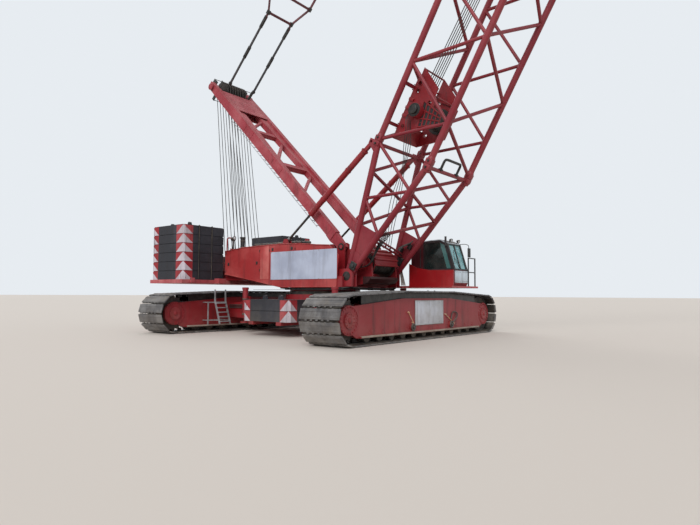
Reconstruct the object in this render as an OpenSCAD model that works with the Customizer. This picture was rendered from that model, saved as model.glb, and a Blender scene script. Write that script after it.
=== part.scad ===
/* [Tracks] */
// Distance between the two track centres
track_gauge = 8400; // [7600:50:9000]
// Width of a track shoe
shoe_w = 1500; // [900:10:1600]
// Distance between the axles of a track's two end wheels
wheel_base = 8800; // [8200:50:9400]
// Radius of the shoe line round an end wheel
wheel_r = 690; // [620:5:720]
// Thickness of a track shoe
shoe_t = 70; // [40:1:90]
// Height of the inner face of the upper run at mid length
upper_run_z = 1570; // [1500:5:1640]
// Half length of the level middle of the upper run
upper_run_half = 1600; // [1000:50:2400]
// Shoes in one track
shoe_count = 72; // [64:1:80]
// Depth of the guide lugs inside the track
guide_h = 110; // [60:5:140]
// Width of the guide lugs
guide_w = 120; // [80:5:160]

/* [Track frames] */
// Width of a track frame
track_frame_w = 1020; // [800:10:1100]
// Thickness of a track frame's side plates
track_plate_t = 110; // [60:5:160]
// Height of the frame's lower edge
track_frame_low_z = 233; // [180:1:300]
// Height of the frame's top at mid length
track_frame_top_z = 1385; // [1300:5:1420]
// Height of the frame's top at its ends
track_frame_end_z = 1154; // [1100:2:1250]
// Rollers along the lower run
roller_count = 11; // [8:1:12]
// Radius of a lower roller
roller_r = 165; // [120:5:190]
// Rollers under the upper run
top_roller_count = 3; // [2:1:5]

/* [Car body] */
// Half length of the car body's centre box
centre_half_x = 1750; // [1600:10:2000]
// Half width of the car body's centre box
centre_half_y = 1900; // [1700:10:1950]
// Height of the centre box's underside
centre_low_z = 500; // [420:5:600]
// Height of the centre box's top
centre_top_z = 1300; // [1200:5:1350]
// Distance from the middle to a cross beam's centre
beam_y = 1350; // [1200:10:1450]
// Width of a cross beam
beam_w = 820; // [600:10:900]
// Radius of the slewing ring
ring_r = 1500; // [1300:10:1600]
// Height of the slewing ring's top
ring_top_z = 1620; // [1560:5:1680]
// Radius of a lashing eye's hole
eye_r = 40; // [25:1:50]
// Thickness of a lashing eye
eye_t = 60; // [40:5:80]

/* [Central ballast] */
// Half length of a central ballast slab
ballast_half_x = 1175; // [900:5:1300]
// Outer face of the central ballast
ballast_outer_y = 3260; // [3000:10:3400]
// Depth of a central ballast slab
ballast_d = 1200; // [900:10:1250]
// Thickness of a central ballast slab
ballast_t = 387; // [300:1:420]
// Height of the central ballast's underside
ballast_low_z = 537; // [500:1:600]

/* [Platform] */
// Half width across the side panels
platform_half_w = 1670; // [1560:10:1760]
// Thickness of a side panel
panel_t = 30; // [20:1:50]
// Front end of the platform
platform_front_x = 2350; // [2300:10:2420]
// Rear end of the platform
platform_rear_x = -4170; // [-4190:10:-4050]
// Height of the platform's underside
platform_low_z = 1770; // [1740:5:1800]
// Height of the platform's deck
deck_z = 2350; // [2300:5:2400]
// Height of the side panels at the rear
panel_rear_z = 3320; // [3200:10:3380]
// Height of the side panels at their highest
panel_top_z = 3460; // [3300:10:3500]
// Front wall of the engine house
house_front_x = -200; // [-600:10:100]
// Wall thickness of the engine house
house_wall = 40; // [20:2:60]

/* [Counterweight] */
// Rear face of the counterweight
cw_rear_x = -6360; // [-6600:10:-6200]
// Front face of the counterweight
cw_front_x = -4200; // [-4300:5:-4200]
// Inner face of a counterweight stack
cw_inner_y = 1750; // [1740:5:1850]
// Outer face of a counterweight stack
cw_outer_y = 3750; // [3500:10:3900]
// Height of the tray that carries the stacks
tray_top_z = 2076; // [2060:2:2100]
// Thickness of the tray
tray_t = 146; // [100:2:180]
// Thickness of one slab
slab_t = 367; // [300:1:400]
// Slabs in one stack
slab_count = 6; // [3:1:7]

/* [Cab] */
// Rear wall of the cab
cab_rear_x = 2750; // [2700:10:2900]
// Front of the cab at floor level
cab_front_x = 4650; // [4500:10:4750]
// Inner side of the cab
cab_inner_y = 2050; // [2000:10:2150]
// Outer side of the cab
cab_outer_y = 3150; // [3050:10:3250]
// Height of the cab floor's underside
cab_low_z = 1850; // [1840:5:1900]
// Height of the cab roof at its highest
cab_top_z = 3640; // [3560:10:3700]
// Height of the cab's window sills
sill_z = 2450; // [2400:10:2550]
// Thickness of the cab's walls
cab_wall = 50; // [30:1:70]
// Thickness of the panes
pane_t = 8; // [5:1:12]

/* [Mast] */
// Mast pivot along the crane
mast_x = 1750; // [1600:10:1800]
// Height of the mast pivot
mast_z = 3250; // [3100:10:3350]
// Length of the mast from its pivot to its tip
mast_len = 10960; // [9000:20:12000]
// Angle of the mast above the horizontal, leaning back
mast_angle = 45; // [35:1:60]
// Distance from the middle to a leg's centre
mast_half_y = 1000; // [900:10:1050]
// Width of a mast leg
leg_w = 240; // [200:10:340]
// Depth of a mast leg
leg_d = 400; // [300:10:500]
// Radius of the mast's pivot pins
mast_pin_r = 70; // [50:1:90]

/* [Boom] */
// Boom pivot along the crane
foot_x = 2294; // [2250:1:2320]
// Height of the boom pivot
foot_z = 2161; // [2120:1:2200]
// Angle of the boom above the horizontal
boom_angle = 60.9; // [50:0.1:70]
// Distance from the middle to a chord's centre
chord_half_y = 1383; // [1360:1:1400]
// Depth of the boom between its chords
boom_depth = 2270; // [1900:10:2400]
// Diameter of a chord
chord_d = 220; // [180:2:240]
// Diameter of a lacing tube
lace_d = 120; // [80:2:130]
// Diameter of a lacing tube on the boom's sides
side_lace_d = 114; // [80:2:130]
// Diameter of a tie that closes a lattice
tie_d = 132; // [90:2:150]
// Length of the tapered foot along the boom
foot_len = 4690; // [4200:10:5000]
// Half of a lacing bay along the boom
half_bay = 1400; // [1300:10:1450]
// Length of the boom from pivot to head axle
boom_len = 42000; // [41000:20:42200]
// Radius of the boom's pivot pins
foot_pin_r = 80; // [60:1:100]
// Thickness of the foot's side plates
foot_plate_t = 110; // [80:2:120]

/* [Head and hook] */
// Radius of the head sheaves
sheave_r = 460; // [350:10:520]
// Sheaves on the head axle
sheave_count = 6; // [4:1:7]
// Distance between neighbouring head sheaves
sheave_pitch = 150; // [110:5:160]
// Length of the rope falls from the head to the hook block
fall_len = 2400; // [1800:50:2600]
// Diameter of the ropes
rope_d = 28; // [20:1:36]
// Throat radius of the hook
hook_r = 170; // [120:5:200]

/* [Stays] */
// Distance from the middle to a stay bar's centre
stay_half_y = 700; // [500:10:900]
// Thickness of a stay bar
stay_t = 50; // [30:2:80]
// Depth of a stay bar
stay_d = 100; // [80:5:160]
// Radius of a back stop tube
stop_tube_r = 110; // [70:2:120]
// Radius of a back stop rod
stop_rod_r = 45; // [30:1:60]

/* [Hidden] */

red = [0.55, 0.04, 0.05];
dark = [0.16, 0.16, 0.17];
steel = [0.35, 0.33, 0.31];
slab_grey = [0.2, 0.2, 0.21];
pale = [0.85, 0.86, 0.86];
silver = [0.7, 0.71, 0.72];
teal = [0.2, 0.42, 0.45];

gap = 0.3;
play = 6;
axle_z = shoe_t + wheel_r;
track_x = track_gauge / 2;
frame_half = track_frame_w / 2;
plate_in = frame_half - track_plate_t;
wheel_y = wheel_base / 2;
roller_axle_r = 50;
bore_play = 0.3;

// Length and slope of the straight run from an end wheel up to the level middle
run_dy = wheel_y - upper_run_half;
run_dz = upper_run_z - axle_z;
run_len = sqrt(run_dy * run_dy + run_dz * run_dz - wheel_r * wheel_r);
run_slope = atan2(run_dz, run_dy) - asin(wheel_r / norm([run_dy, run_dz]));
arc_deg = 180 - run_slope;
arc_len = wheel_r * arc_deg * PI / 180;
loop_len = wheel_base + 2 * arc_len + 2 * run_len + 2 * upper_run_half;
shoe_pitch = loop_len / shoe_count;

// Point and direction on the track's inner face at a distance from its lowest middle
function loop_at(s) =
    s < wheel_y ? [s, shoe_t, 0] :
    s < wheel_y + arc_len ?
        let (a = (s - wheel_y) / wheel_r * 180 / PI)
        [wheel_y + wheel_r * sin(a), axle_z - wheel_r * cos(a), a] :
    s < wheel_y + arc_len + run_len ?
        let (t = s - wheel_y - arc_len)
        [wheel_y + wheel_r * sin(arc_deg) + t * cos(arc_deg),
         axle_z - wheel_r * cos(arc_deg) + t * sin(arc_deg), arc_deg] :
    [upper_run_half - (s - wheel_y - arc_len - run_len), upper_run_z, 180];

// The loop's second half mirrors its first
function loop_point(s) =
    let (m = s % loop_len)
    m <= loop_len / 2 ? loop_at(m) :
    let (p = loop_at(loop_len - m)) [-p[0], p[1], 360 - p[2]];

// A point at distance u along a shoe and v out of it, from the shoe's middle
function shoe_point(i, u, v) =
    let (p = loop_point((i + 0.5) * shoe_pitch), a = p[2])
    [p[0] + u * cos(a) + v * sin(a), p[1] + u * sin(a) - v * cos(a)];

shoe_half = 0.45 * shoe_pitch;
// Thickness of the links that join the shoes
shoe_web = 12;

function mix(a, b, t) = a + (b - a) * t;
function unit(v) = v / norm(v);

// A closed outline, its points counter-clockwise, drawn in by d on every side
function inset(p, d) = [for (i = [0 : len(p) - 1])
    let (n = len(p), a = unit(p[i] - p[(i + n - 1) % n]), b = unit(p[(i + 1) % n] - p[i]))
    p[i] + d / (1 + a * b) * [-a[1] - b[1], a[0] + b[0]]];

// A strip between two points, from one distance to another on its left
function strip(a, b, d0, d1) =
    let (t = unit(b - a), n = [-t[1], t[0]]) [a + d0 * n, b + d0 * n, b + d1 * n, a + d1 * n];

module bar(a, b, d, sides = 6) {
    v = b - a;
    translate(a)
        rotate([0, acos(v.z / norm(v)), atan2(v.y, v.x)])
            rotate(180 / sides) cylinder(d = d, h = norm(v), $fn = sides);
}

module along_x(x0, x1) {
    translate([x0, 0, 0]) rotate([90, 0, 90]) linear_extrude(x1 - x0) children();
}

module along_y(y0, y1) {
    translate([0, max(y0, y1), 0]) rotate([90, 0, 0]) linear_extrude(abs(y1 - y0)) children();
}

module rod_y(x, z, y0, y1, r) {
    translate([x, y0, z]) rotate([-90, 0, 0]) cylinder(r = r, h = y1 - y0, $fn = 48);
}

module rod_x(y, z, x0, x1, r) {
    translate([x0, y, z]) rotate([0, 90, 0]) cylinder(r = r, h = x1 - x0, $fn = 48);
}

// A sheave with its rope groove: its bottom lies at r
groove_w = 22;
rim_w = 30;
rim_h = 25;
module sheave(x, z, y, r, half) {
    translate([x, y, z]) rotate([90, 0, 0]) rotate_extrude($fn = 48)
        polygon([[0, -half], [r + rim_h, -half], [r + rim_h, -rim_w], [r, -groove_w], [r, groove_w],
            [r + rim_h, rim_w], [r + rim_h, half], [0, half]]);
}

module block(low, high) {
    translate(low) cube(high - low);
}

module both_tracks() {
    for (sx = [-1, 1]) translate([sx * track_x, 0, 0]) children();
}

module track_loop() {
    color(steel) {
        along_x(-shoe_w / 2, shoe_w / 2) difference() {
            polygon([for (i = [0 : shoe_count - 1], c = [[-1, shoe_web], [-1, shoe_t], [1, shoe_t],
                [1, shoe_web]])
                shoe_point(i, c[0] * shoe_half, c[1])]);
            polygon([for (i = [0 : shoe_count - 1]) shoe_point(i, 0, 0)]);
        }
        along_x(-guide_w / 2, guide_w / 2) difference() {
            polygon([for (i = [0 : shoe_count - 1]) shoe_point(i, 0, shoe_web / 2)]);
            polygon([for (i = [0 : shoe_count - 1], c = [[-0.5, -10], [-0.4, -guide_h], [0.4, -guide_h],
                [0.5, -10]])
                shoe_point(i, c[0] * shoe_half, c[1])]);
        }
    }
}

module track_front() {
    translate([track_x, 0, 0]) track_loop();
}

module track_back() {
    translate([-track_x, 0, 0]) track_loop();
}

frame_side = [[-wheel_y + 350, track_frame_low_z], [wheel_y - 350, track_frame_low_z],
    [wheel_y, axle_z - 340], [wheel_y, track_frame_end_z], [1586, track_frame_top_z],
    [-1586, track_frame_top_z], [-wheel_y, track_frame_end_z], [-wheel_y, axle_z - 340]];
channel_top_z = 600;
fork_y = wheel_y - wheel_r - 40;
channel_half = fork_y - 60;
axle_cap_r = 440;
ledge_z = 210;
ledge_half = 3900;
ring_boss_y = [-1050, 1600];
ring_boss_z = 440;

module track_frame() {
    color(red) difference() {
        union() {
            along_x(-frame_half, frame_half) polygon(frame_side);
            for (sy = [-1, 1]) rod_x(sy * wheel_y, axle_z, -frame_half, frame_half, axle_cap_r);
            for (side = [-1, 1]) {
                translate([side * (frame_half + 20), 0, ledge_z + 45])
                    cube([60, 2 * ledge_half, 50], center = true);
                for (y = ring_boss_y) rod_x(y, ring_boss_z, side * frame_half - 40,
                    side * frame_half + 40, 110);
            }
        }
        block([-plate_in, -channel_half, 0], [plate_in, channel_half, channel_top_z]);
        for (sy = [-1, 1]) {
            translate([0, sy * (fork_y + 1000), axle_z]) cube([2 * plate_in, 2000, 1600], center = true);
            rod_x(sy * wheel_y, axle_z, -frame_half - 1, frame_half + 1, 90 + bore_play);
        }
    }
}

module track_frame_front() {
    translate([track_x, 0, 0]) track_frame();
}

module track_frame_back() {
    translate([-track_x, 0, 0]) track_frame();
}

end_wheel_r = wheel_r * cos(shoe_pitch / 2 / wheel_r * 180 / PI) - gap;
tooth_count = 18;

module end_axle() {
    rod_x(0, 0, -frame_half - 40, frame_half + 40, 90);
    for (side = [-1, 1]) rod_x(0, 0, side * (frame_half + 20 + gap) - 20,
        side * (frame_half + 20 + gap) + 20, 230);
    rod_x(0, 0, -plate_in + play, plate_in - play, 190);
}

module drive_sprockets() {
    both_tracks() translate([0, -wheel_y, axle_z]) color(steel) {
        end_axle();
        for (x = [-260, 150]) along_x(x, x + 110)
            polygon([for (i = [0 : tooth_count - 1], c = [[-0.34, 0.9], [-0.16, 1], [0.16, 1], [0.34, 0.9]])
                let (a = (i + c[0]) * 360 / tooth_count) end_wheel_r * c[1] * [cos(a), sin(a)]]);
    }
}

module idler_wheels() {
    both_tracks() translate([0, wheel_y, axle_z]) color(steel) {
        end_axle();
        for (x = [-300, 120]) rod_x(0, 0, x, x + 180, end_wheel_r);
    }
}

roller_z = shoe_t + roller_r + gap;
roller_span = 2 * (channel_half - 280);
top_roller_z = (track_frame_top_z + upper_run_z) / 2;
top_roller_r = upper_run_z - top_roller_z - gap;

module track_rollers() {
    both_tracks() color(dark) {
        for (i = [0 : roller_count - 1]) {
            y = -roller_span / 2 + i * roller_span / (roller_count - 1);
            rod_x(y, roller_z, -plate_in, plate_in, roller_axle_r);
            for (x = [-340, 100]) rod_x(y, roller_z, x, x + 240, roller_r);
        }
        for (i = [0 : top_roller_count - 1]) {
            y = (i - (top_roller_count - 1) / 2) * 1300;
            for (sx = [-1, 1]) {
                block([sx * 220 - 50, y - 60, track_frame_top_z], [sx * 220 + 50, y + 60, top_roller_z]);
                rod_x(y, top_roller_z, sx * 220 - 110, sx * 220 + 110, top_roller_r);
            }
        }
    }
}

beam_end_x = track_x - frame_half;
beam_side = [[-beam_end_x, 560], [-centre_half_x, centre_low_z], [centre_half_x, centre_low_z],
    [beam_end_x, 560], [beam_end_x, 1120], [centre_half_x + 100, centre_top_z],
    [-centre_half_x - 100, centre_top_z], [-beam_end_x, 1120]];
eye_x = 3000;
eye_z = 1330;
ring_low_z = ring_top_z - 120;
shelf_x = 700;

module car_body() {
    color(red) difference() {
        union() {
            block([-centre_half_x, -centre_half_y, centre_low_z], [centre_half_x, centre_half_y,
                centre_top_z]);
            for (sy = [-1, 1]) {
                along_y(sy * beam_y - beam_w / 2, sy * beam_y + beam_w / 2) polygon(beam_side);
                for (sx = [-1, 1]) {
                    translate([sx * shelf_x, sy * (centre_half_y + ballast_outer_y) / 2,
                        ballast_low_z - 60])
                        cube([240, ballast_outer_y - centre_half_y + 20, 120], center = true);
                    along_y(sy * beam_y - eye_t / 2, sy * beam_y + eye_t / 2)
                        translate([sx * eye_x, 0])
                            polygon([[-150, 1050], [150, 1050], [80, eye_z + 80], [-80, eye_z + 80]]);
                }
            }
            translate([0, 0, centre_top_z - 20])
                cylinder(r = ring_r + 60, h = ring_low_z - centre_top_z + 20, $fn = 96);
        }
        for (sx = [-1, 1], sy = [-1, 1])
            rod_y(sx * eye_x, eye_z, sy * beam_y - eye_t, sy * beam_y + eye_t, eye_r);
    }
}

module slewing_ring() {
    color(dark) translate([0, 0, ring_low_z]) difference() {
        cylinder(r = ring_r, h = ring_top_z - ring_low_z, $fn = 96);
        translate([0, 0, -1]) cylinder(r = ring_r - 250, h = ring_top_z, $fn = 96);
    }
}

// Plan of a cast slab with its outer corners cut: half length, inner and outer edge
slab_cut = 110;
slab_lip = 25;
function slab_plan(x0, x1, y0, y1) =
    [[x0, y0], [x1, y0], [x1, y1 - slab_cut], [x1 - slab_cut, y1], [x0 + slab_cut, y1],
        [x0, y1 - slab_cut]];

// One slab on its lower face: a shallow lip runs round its top edge
module slab(plan, t) {
    linear_extrude(t - slab_lip) polygon(plan);
    translate([0, 0, t - slab_lip - 1]) linear_extrude(slab_lip + 1 - gap) polygon(inset(plan, slab_lip));
}

module lifting_lug(x, y, z) {
    along_y(y - 45, y + 45) {
        polygon([[x - 110, z - gap], [x + 110, z - gap], [x + 80, z + 90], [x - 80, z + 90]]);
        translate([x, z + 85]) circle(r = 80, $fn = 32);
    }
}

ballast_lug_x = 400;

module central_ballast() {
    color(slab_grey) for (side = [0, 1]) rotate([0, 0, 180 * side]) {
        for (i = [0, 1]) translate([0, 0, ballast_low_z + i * ballast_t])
            slab(slab_plan(-ballast_half_x, ballast_half_x, ballast_outer_y - ballast_d,
                ballast_outer_y), ballast_t);
        for (sx = [-1, 1])
            lifting_lug(sx * ballast_lug_x, ballast_outer_y - ballast_d / 3, ballast_low_z + 2 * ballast_t);
    }
}

jack_x = 2300;
jack_y = 2150;
jack_arm = jack_y - beam_y - beam_w / 2;

// Each post runs through its arm and stands clear of the ground on its foot plate
jack_top_z = 1740;
jack_tube_low_z = 560;
jack_foot_z = 380;
jack_arm_z = 1000;

module jack_legs() {
    color(red) for (sx = [-1, 1], sy = [-1, 1]) translate([sx * jack_x, sy * jack_y, 0]) {
        translate([0, 0, jack_tube_low_z]) cylinder(r = 110, h = jack_top_z - jack_tube_low_z, $fn = 32);
        translate([0, 0, jack_top_z - 60]) cylinder(r = 130, h = 80, $fn = 32);
        translate([0, 0, jack_foot_z + 40]) cylinder(r = 60, h = jack_tube_low_z - jack_foot_z, $fn = 32);
        translate([0, 0, jack_foot_z]) cylinder(r = 200, h = 50, $fn = 32);
        translate([0, -sy * jack_arm / 2, jack_arm_z]) cube([160, jack_arm, 240], center = true);
    }
}

// Ladder up to each track frame from the ballast's side: it leans towards the frame
step_count = 5;
step_w = 560;
step_mid_y = 2530;
step_low = [600, 330];
step_top = [shoe_w / 2 - frame_half + 50, 1220];
step_post_z = 1680;
step_tube = 40;
step_leg_y = 600;

module access_steps() {
    arm_z = [step_low[1] + 120, step_top[1] - 70];
    color(silver) for (side = [0, 1]) rotate([0, 0, 180 * side]) translate([-beam_end_x, -step_mid_y, 0]) {
        for (sy = [-1, 1]) along_y(sy * (step_w - step_tube) / 2 - step_tube / 2,
            sy * (step_w - step_tube) / 2 + step_tube / 2)
            polygon([step_low, step_low + [70, 0], step_top + [70, 0], [step_top[0] + 45, step_post_z],
                [step_top[0], step_post_z], step_top]);
        for (i = [0 : step_count - 1]) {
            p = mix(step_low, step_top, (i + 0.5) / step_count);
            translate([p[0] + 35, 0, p[1]]) cube([130, step_w - step_tube, 30], center = true);
        }
        for (z = arm_z) {
            block([step_top[0], -step_leg_y, z], [step_top[0] + step_tube, step_w / 2, z + step_tube]);
            for (y = [-step_leg_y, step_w / 2 - step_tube])
                block([gap, y, z], [step_top[0] + 1, y + step_tube, z + step_tube]);
        }
        block([step_top[0], -step_leg_y, step_low[1] - 40], [step_top[0] + step_tube,
            -step_leg_y + step_tube, arm_z[1] + 1]);
        for (y = [-step_w / 2, step_w / 2 - step_tube])
            block([step_top[0], y, arm_z[0]], [step_low[0] - 20, y + step_tube, arm_z[0] + step_tube]);
    }
}

ring_clear = 0.5;
// The nose carries the luffing winch
nose_half = 900;
nose_x = 2900;
nose_top_z = 2150;
platform_side = [[platform_rear_x, deck_z - 20], [-2960, 2140], [-830, platform_low_z],
    [platform_front_x - 150, platform_low_z], [platform_front_x - 150, nose_top_z], [1900, nose_top_z],
        [1500, deck_z], [platform_rear_x, deck_z]];
lug_out_y = chord_half_y + foot_plate_t / 2 + play;
lug_in_y = chord_half_y - foot_plate_t / 2 - play;
lug_t = 70;
post_t = 50;
leg_foot_t = 180;
tail_top_z = 2500;

module platform_frame() {
    color(red) difference() {
        union() {
            along_y(-platform_half_w + panel_t, platform_half_w - panel_t) polygon(platform_side);
            translate([0, 0, ring_top_z + ring_clear])
                cylinder(r = ring_r - 100, h = platform_low_z - ring_top_z + 50, $fn = 96);
            along_y(-nose_half, nose_half)
                polygon([[1500, platform_low_z + 30], [2200, platform_low_z + 30],
                [nose_x - 150, nose_top_z - 220], [nose_x, nose_top_z - 80], [nose_x, nose_top_z],
                    [1500, nose_top_z]]);
            block([cw_rear_x + 100, -1500, tray_top_z], [platform_rear_x, 1500, tail_top_z]);
            block([platform_rear_x - 10, -1500, tray_top_z], [-2960, 1500, deck_z]);
            for (sy = [-1, 1]) {
                for (y = [sy * (lug_out_y + lug_t / 2), sy * (lug_in_y - lug_t / 2)])
                    along_y(y - lug_t / 2, y + lug_t / 2)
                        polygon([[1500, platform_low_z + 20], [foot_x + 260, platform_low_z + 20],
                            [foot_x + 260, foot_z + 120],
                            [foot_x + 100, foot_z + 260], [1700, deck_z + 60], [1500, deck_z - 60]]);
                for (y = [-1, 1])
                    along_y(sy * mast_half_y + y * (leg_foot_t / 2 + play + post_t / 2) - post_t / 2,
                        sy * mast_half_y + y * (leg_foot_t / 2 + play + post_t / 2) + post_t / 2)
                        polygon([[mast_x - 500, deck_z - 200], [mast_x + 160, deck_z - 300],
                            [mast_x + 160, mast_z + 100],
                            [mast_x + 60, mast_z + 160], [mast_x - 100, mast_z + 160],
                                [mast_x - 200, mast_z]]);
            }
        }
        for (sy = [-1, 1]) {
            rod_y(foot_x, foot_z, sy * chord_half_y - foot_plate_t / 2 - play,
                sy * chord_half_y + foot_plate_t / 2 + play, 290);
            rod_y(foot_x, foot_z, sy * chord_half_y - 200, sy * chord_half_y + 200, foot_pin_r + bore_play);
            rod_y(mast_x, mast_z, sy * mast_half_y - 200, sy * mast_half_y + 200, mast_pin_r + bore_play);
        }
    }
}

seam_x = [-2010, -1490, -60];
grille_x = [-3600, -2400];
grille_z = [2500, 3150];
slat_count = 8;

module side_panels() {
    outline = [[platform_rear_x, deck_z - 30], [-2960, 2130], [-830, platform_low_z - 10],
        [platform_front_x - 400, platform_low_z - 10], [platform_front_x - 300, 2900], [1600, 3300],
            [1000, 3340],
        [170, 3430], [-890, panel_top_z], [roof_bend_x, panel_top_z - 30], [platform_rear_x, panel_rear_z]];
    color(red) for (sy = [-1, 1]) {
        y = sy * (platform_half_w - panel_t / 2);
        difference() {
            along_y(y - panel_t / 2, y + panel_t / 2) polygon(outline);
            for (x = seam_x) block([x - 6, sy * platform_half_w - 8, 0],
                [x + 6, sy * platform_half_w + 8, 4000]);
            if (sy == 1) block([grille_x[0], y - 50, grille_z[0]], [grille_x[1], y + 50, grille_z[1]]);
        }
        if (sy == 1) for (i = [0 : slat_count - 1]) {
            z = mix(grille_z[0], grille_z[1], (i + 0.5) / slat_count);
            along_x(grille_x[0] - 10, grille_x[1] + 10)
                polygon([[y - 12, z - 30], [y - 4, z - 30], [y + 12, z + 30], [y + 4, z + 30]]);
        }
    }
}

module engine_block() {
    color(steel) block([-3500, -550, deck_z], [-1500, 550, 3150]);
}

house_top_z = panel_top_z - 40;
stop_eye_half = 60;
stop_low = [-780, 3560];

roof_bend_x = -2930;
function roof_z(x) = x > roof_bend_x ? house_top_z :
    mix(panel_rear_z - 30, house_top_z, (x - platform_rear_x) / (roof_bend_x - platform_rear_x));
fan_x = -2600;
fan_r = 430;
fan_ring = 50;

module engine_house() {
    color(red) {
        half = platform_half_w - panel_t;
        outline = [[platform_rear_x, deck_z], [house_front_x, deck_z], [house_front_x, house_top_z],
            [roof_bend_x, house_top_z], [platform_rear_x, roof_z(platform_rear_x)]];
        difference() {
            along_y(-half, half) polygon(outline);
            along_y(-half + house_wall, half - house_wall) polygon(inset(outline, house_wall));
            block([platform_rear_x + house_wall, -half + house_wall, deck_z - 1],
                [house_front_x - house_wall, half - house_wall, deck_z + house_wall + 1]);
            translate([fan_x, 0, house_top_z - 100]) cylinder(r = fan_r, h = 200, $fn = 64);
        }
        translate([fan_x, 0, house_top_z - house_wall]) {
            difference() {
                cylinder(r = fan_r + fan_ring, h = house_wall + 60, $fn = 64);
                translate([0, 0, -1]) cylinder(r = fan_r, h = house_wall + 62, $fn = 64);
            }
            for (a = [0 : 45 : 135]) rotate(a) translate([0, 0, house_wall / 2 + 30])
                cube([2 * fan_r + fan_ring, 24, 30], center = true);
        }
        for (sy = [-1, 1], side = [-1, 1]) {
            y = sy * chord_half_y + side * (stop_eye_half + play + 15);
            along_y(y - 15, y + 15) polygon([[stop_low[0] - 200, house_top_z],
                [stop_low[0] + 200, house_top_z],
                [stop_low[0] + 90, stop_low[1] + 90], [stop_low[0] - 90, stop_low[1] + 90]]);
        }
    }
}

silencer_y = -1000;
silencer_x = [-2850, 0];
silencer_feet = [-2760, -460];
silencer_r = 75;
stack_x = -3850;
stack_r = 95;
lamp_x = -3800;
lamp_y = -1560;

module roof_fittings() {
    color(dark) {
        for (i = [0, 1]) rod_x(silencer_y - i * 170, house_top_z + silencer_r + 10, silencer_x[0],
            silencer_x[1] - i * 300, silencer_r);
        for (x = silencer_feet) block([x - 30, silencer_y - 240, house_top_z], [x + 30, silencer_y + 70,
            house_top_z + silencer_r + 10]);
        translate([stack_x, silencer_y, roof_z(stack_x + stack_r) + gap]) {
            cylinder(r = stack_r, h = 590, $fn = 32);
            translate([0, 0, 550]) cylinder(r = stack_r + 30, h = 60, $fn = 32);
        }
        translate([lamp_x, lamp_y, roof_z(lamp_x + 25) + gap]) {
            block([-25, -25, 0], [25, 25, 440]);
            translate([0, 0, 480]) rotate([0, 90, 0]) cylinder(r = 85, h = 130, $fn = 32, center = true);
        }
    }
}

stack_top_z = tray_top_z + slab_count * slab_t;
groove_x = 30;

module stack() {
    w = cw_outer_y - cw_inner_y;
    color(slab_grey) difference() {
        union() {
            for (i = [0 : slab_count - 1]) translate([0, 0, tray_top_z + i * slab_t])
                slab(slab_plan(cw_rear_x, cw_front_x, cw_inner_y, cw_outer_y), slab_t);
            for (x = [0.25, 0.8]) lifting_lug(mix(cw_rear_x, cw_front_x, x), cw_inner_y + 0.7 * w,
                stack_top_z);
        }
        for (y = [0.3, 0.62]) translate([cw_front_x, cw_inner_y + y * w, 0])
            translate([-groove_x, -40, 0]) cube([2 * groove_x, 80, 2 * stack_top_z]);
    }
}

module counterweight_right() {
    mirror([0, 1, 0]) stack();
}

module counterweight_left() {
    stack();
}

tray_lug_y = [2000, 3300];

module counterweight_tray() {
    color(red) {
        block([cw_rear_x - 40, -cw_outer_y - 30, tray_top_z - tray_t],
            [cw_front_x + 10, cw_outer_y + 30, tray_top_z]);
        for (sy = [-1, 1]) {
            block([cw_front_x + 10, sy * 2000 - 200, tray_top_z - tray_t],
                [cw_front_x + 300, sy * 2000 + 200, tray_top_z + 60]);
            for (y = tray_lug_y) block([cw_front_x + 5, sy * y - 90, tray_top_z - tray_t + 20],
                [cw_front_x + 70, sy * y + 90, tray_top_z + 70]);
        }
    }
}

rear_sheave_x = -4950;
rear_sheave_z = 3000;
rear_sheave_r = 330;
tip_x = mast_x - mast_len * cos(mast_angle);
tip_z = mast_z + mast_len * sin(mast_angle);
tip_sheave_r = 380;
rope_rows = 8;
rear_rope_half = 850;
tip_rope_half = 600;
function row_y(i, half) = -half + 2 * half * (i + 0.5) / rope_rows;

module rear_sheaves() {
    color(red) for (sy = [-1, 1])
        along_y(sy * 950 - 30, sy * 950 + 30)
            polygon([[rear_sheave_x - 650, tail_top_z], [rear_sheave_x + 650, tail_top_z],
                [rear_sheave_x + 200, rear_sheave_z + 130], [rear_sheave_x - 200, rear_sheave_z + 130]]);
    color(dark) {
        rod_y(rear_sheave_x, rear_sheave_z, -920, 920, 70);
        for (i = [0 : rope_rows - 1]) sheave(rear_sheave_x, rear_sheave_z, row_y(i, rear_rope_half),
            rear_sheave_r, 40);
    }
}

// Where a rope leaves the first of two sheaves: s is 1 or -1 for its two sides
rope_off = rope_d / 2 + gap;
rope_sides = 12;
function rope_leave(c, r, other, other_r, s) =
    let (run = other - c, a = atan2(run[1], run[0]) + s * acos((r - other_r) / norm(run)))
    c + (r + rope_off) * [cos(a), sin(a)];

module rope(a, ay, ar, b, by, br, s) {
    p = rope_leave(a, ar, b, br, s);
    q = rope_leave(b, br, a, ar, -s);
    bar([p[0], ay, p[1]], [q[0], by, q[1]], rope_d, rope_sides);
}

module luffing_ropes() {
    color(dark) for (i = [0 : rope_rows - 1], s = [-1, 1])
        rope([rear_sheave_x, rear_sheave_z], row_y(i, rear_rope_half), rear_sheave_r,
            [tip_x, tip_z], row_y(i, tip_rope_half), tip_sheave_r, s);
}

module in_mast() {
    translate([mast_x, 0, mast_z]) rotate([0, -(180 - mast_angle), 0]) children();
}

// Cross beams: place along the mast and width
mast_beams = [[5050, 220], [7500, 200]];
mast_head_u = mast_len - 2060;
mast_skin = 30;
leg_bend_u = 900;

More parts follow.
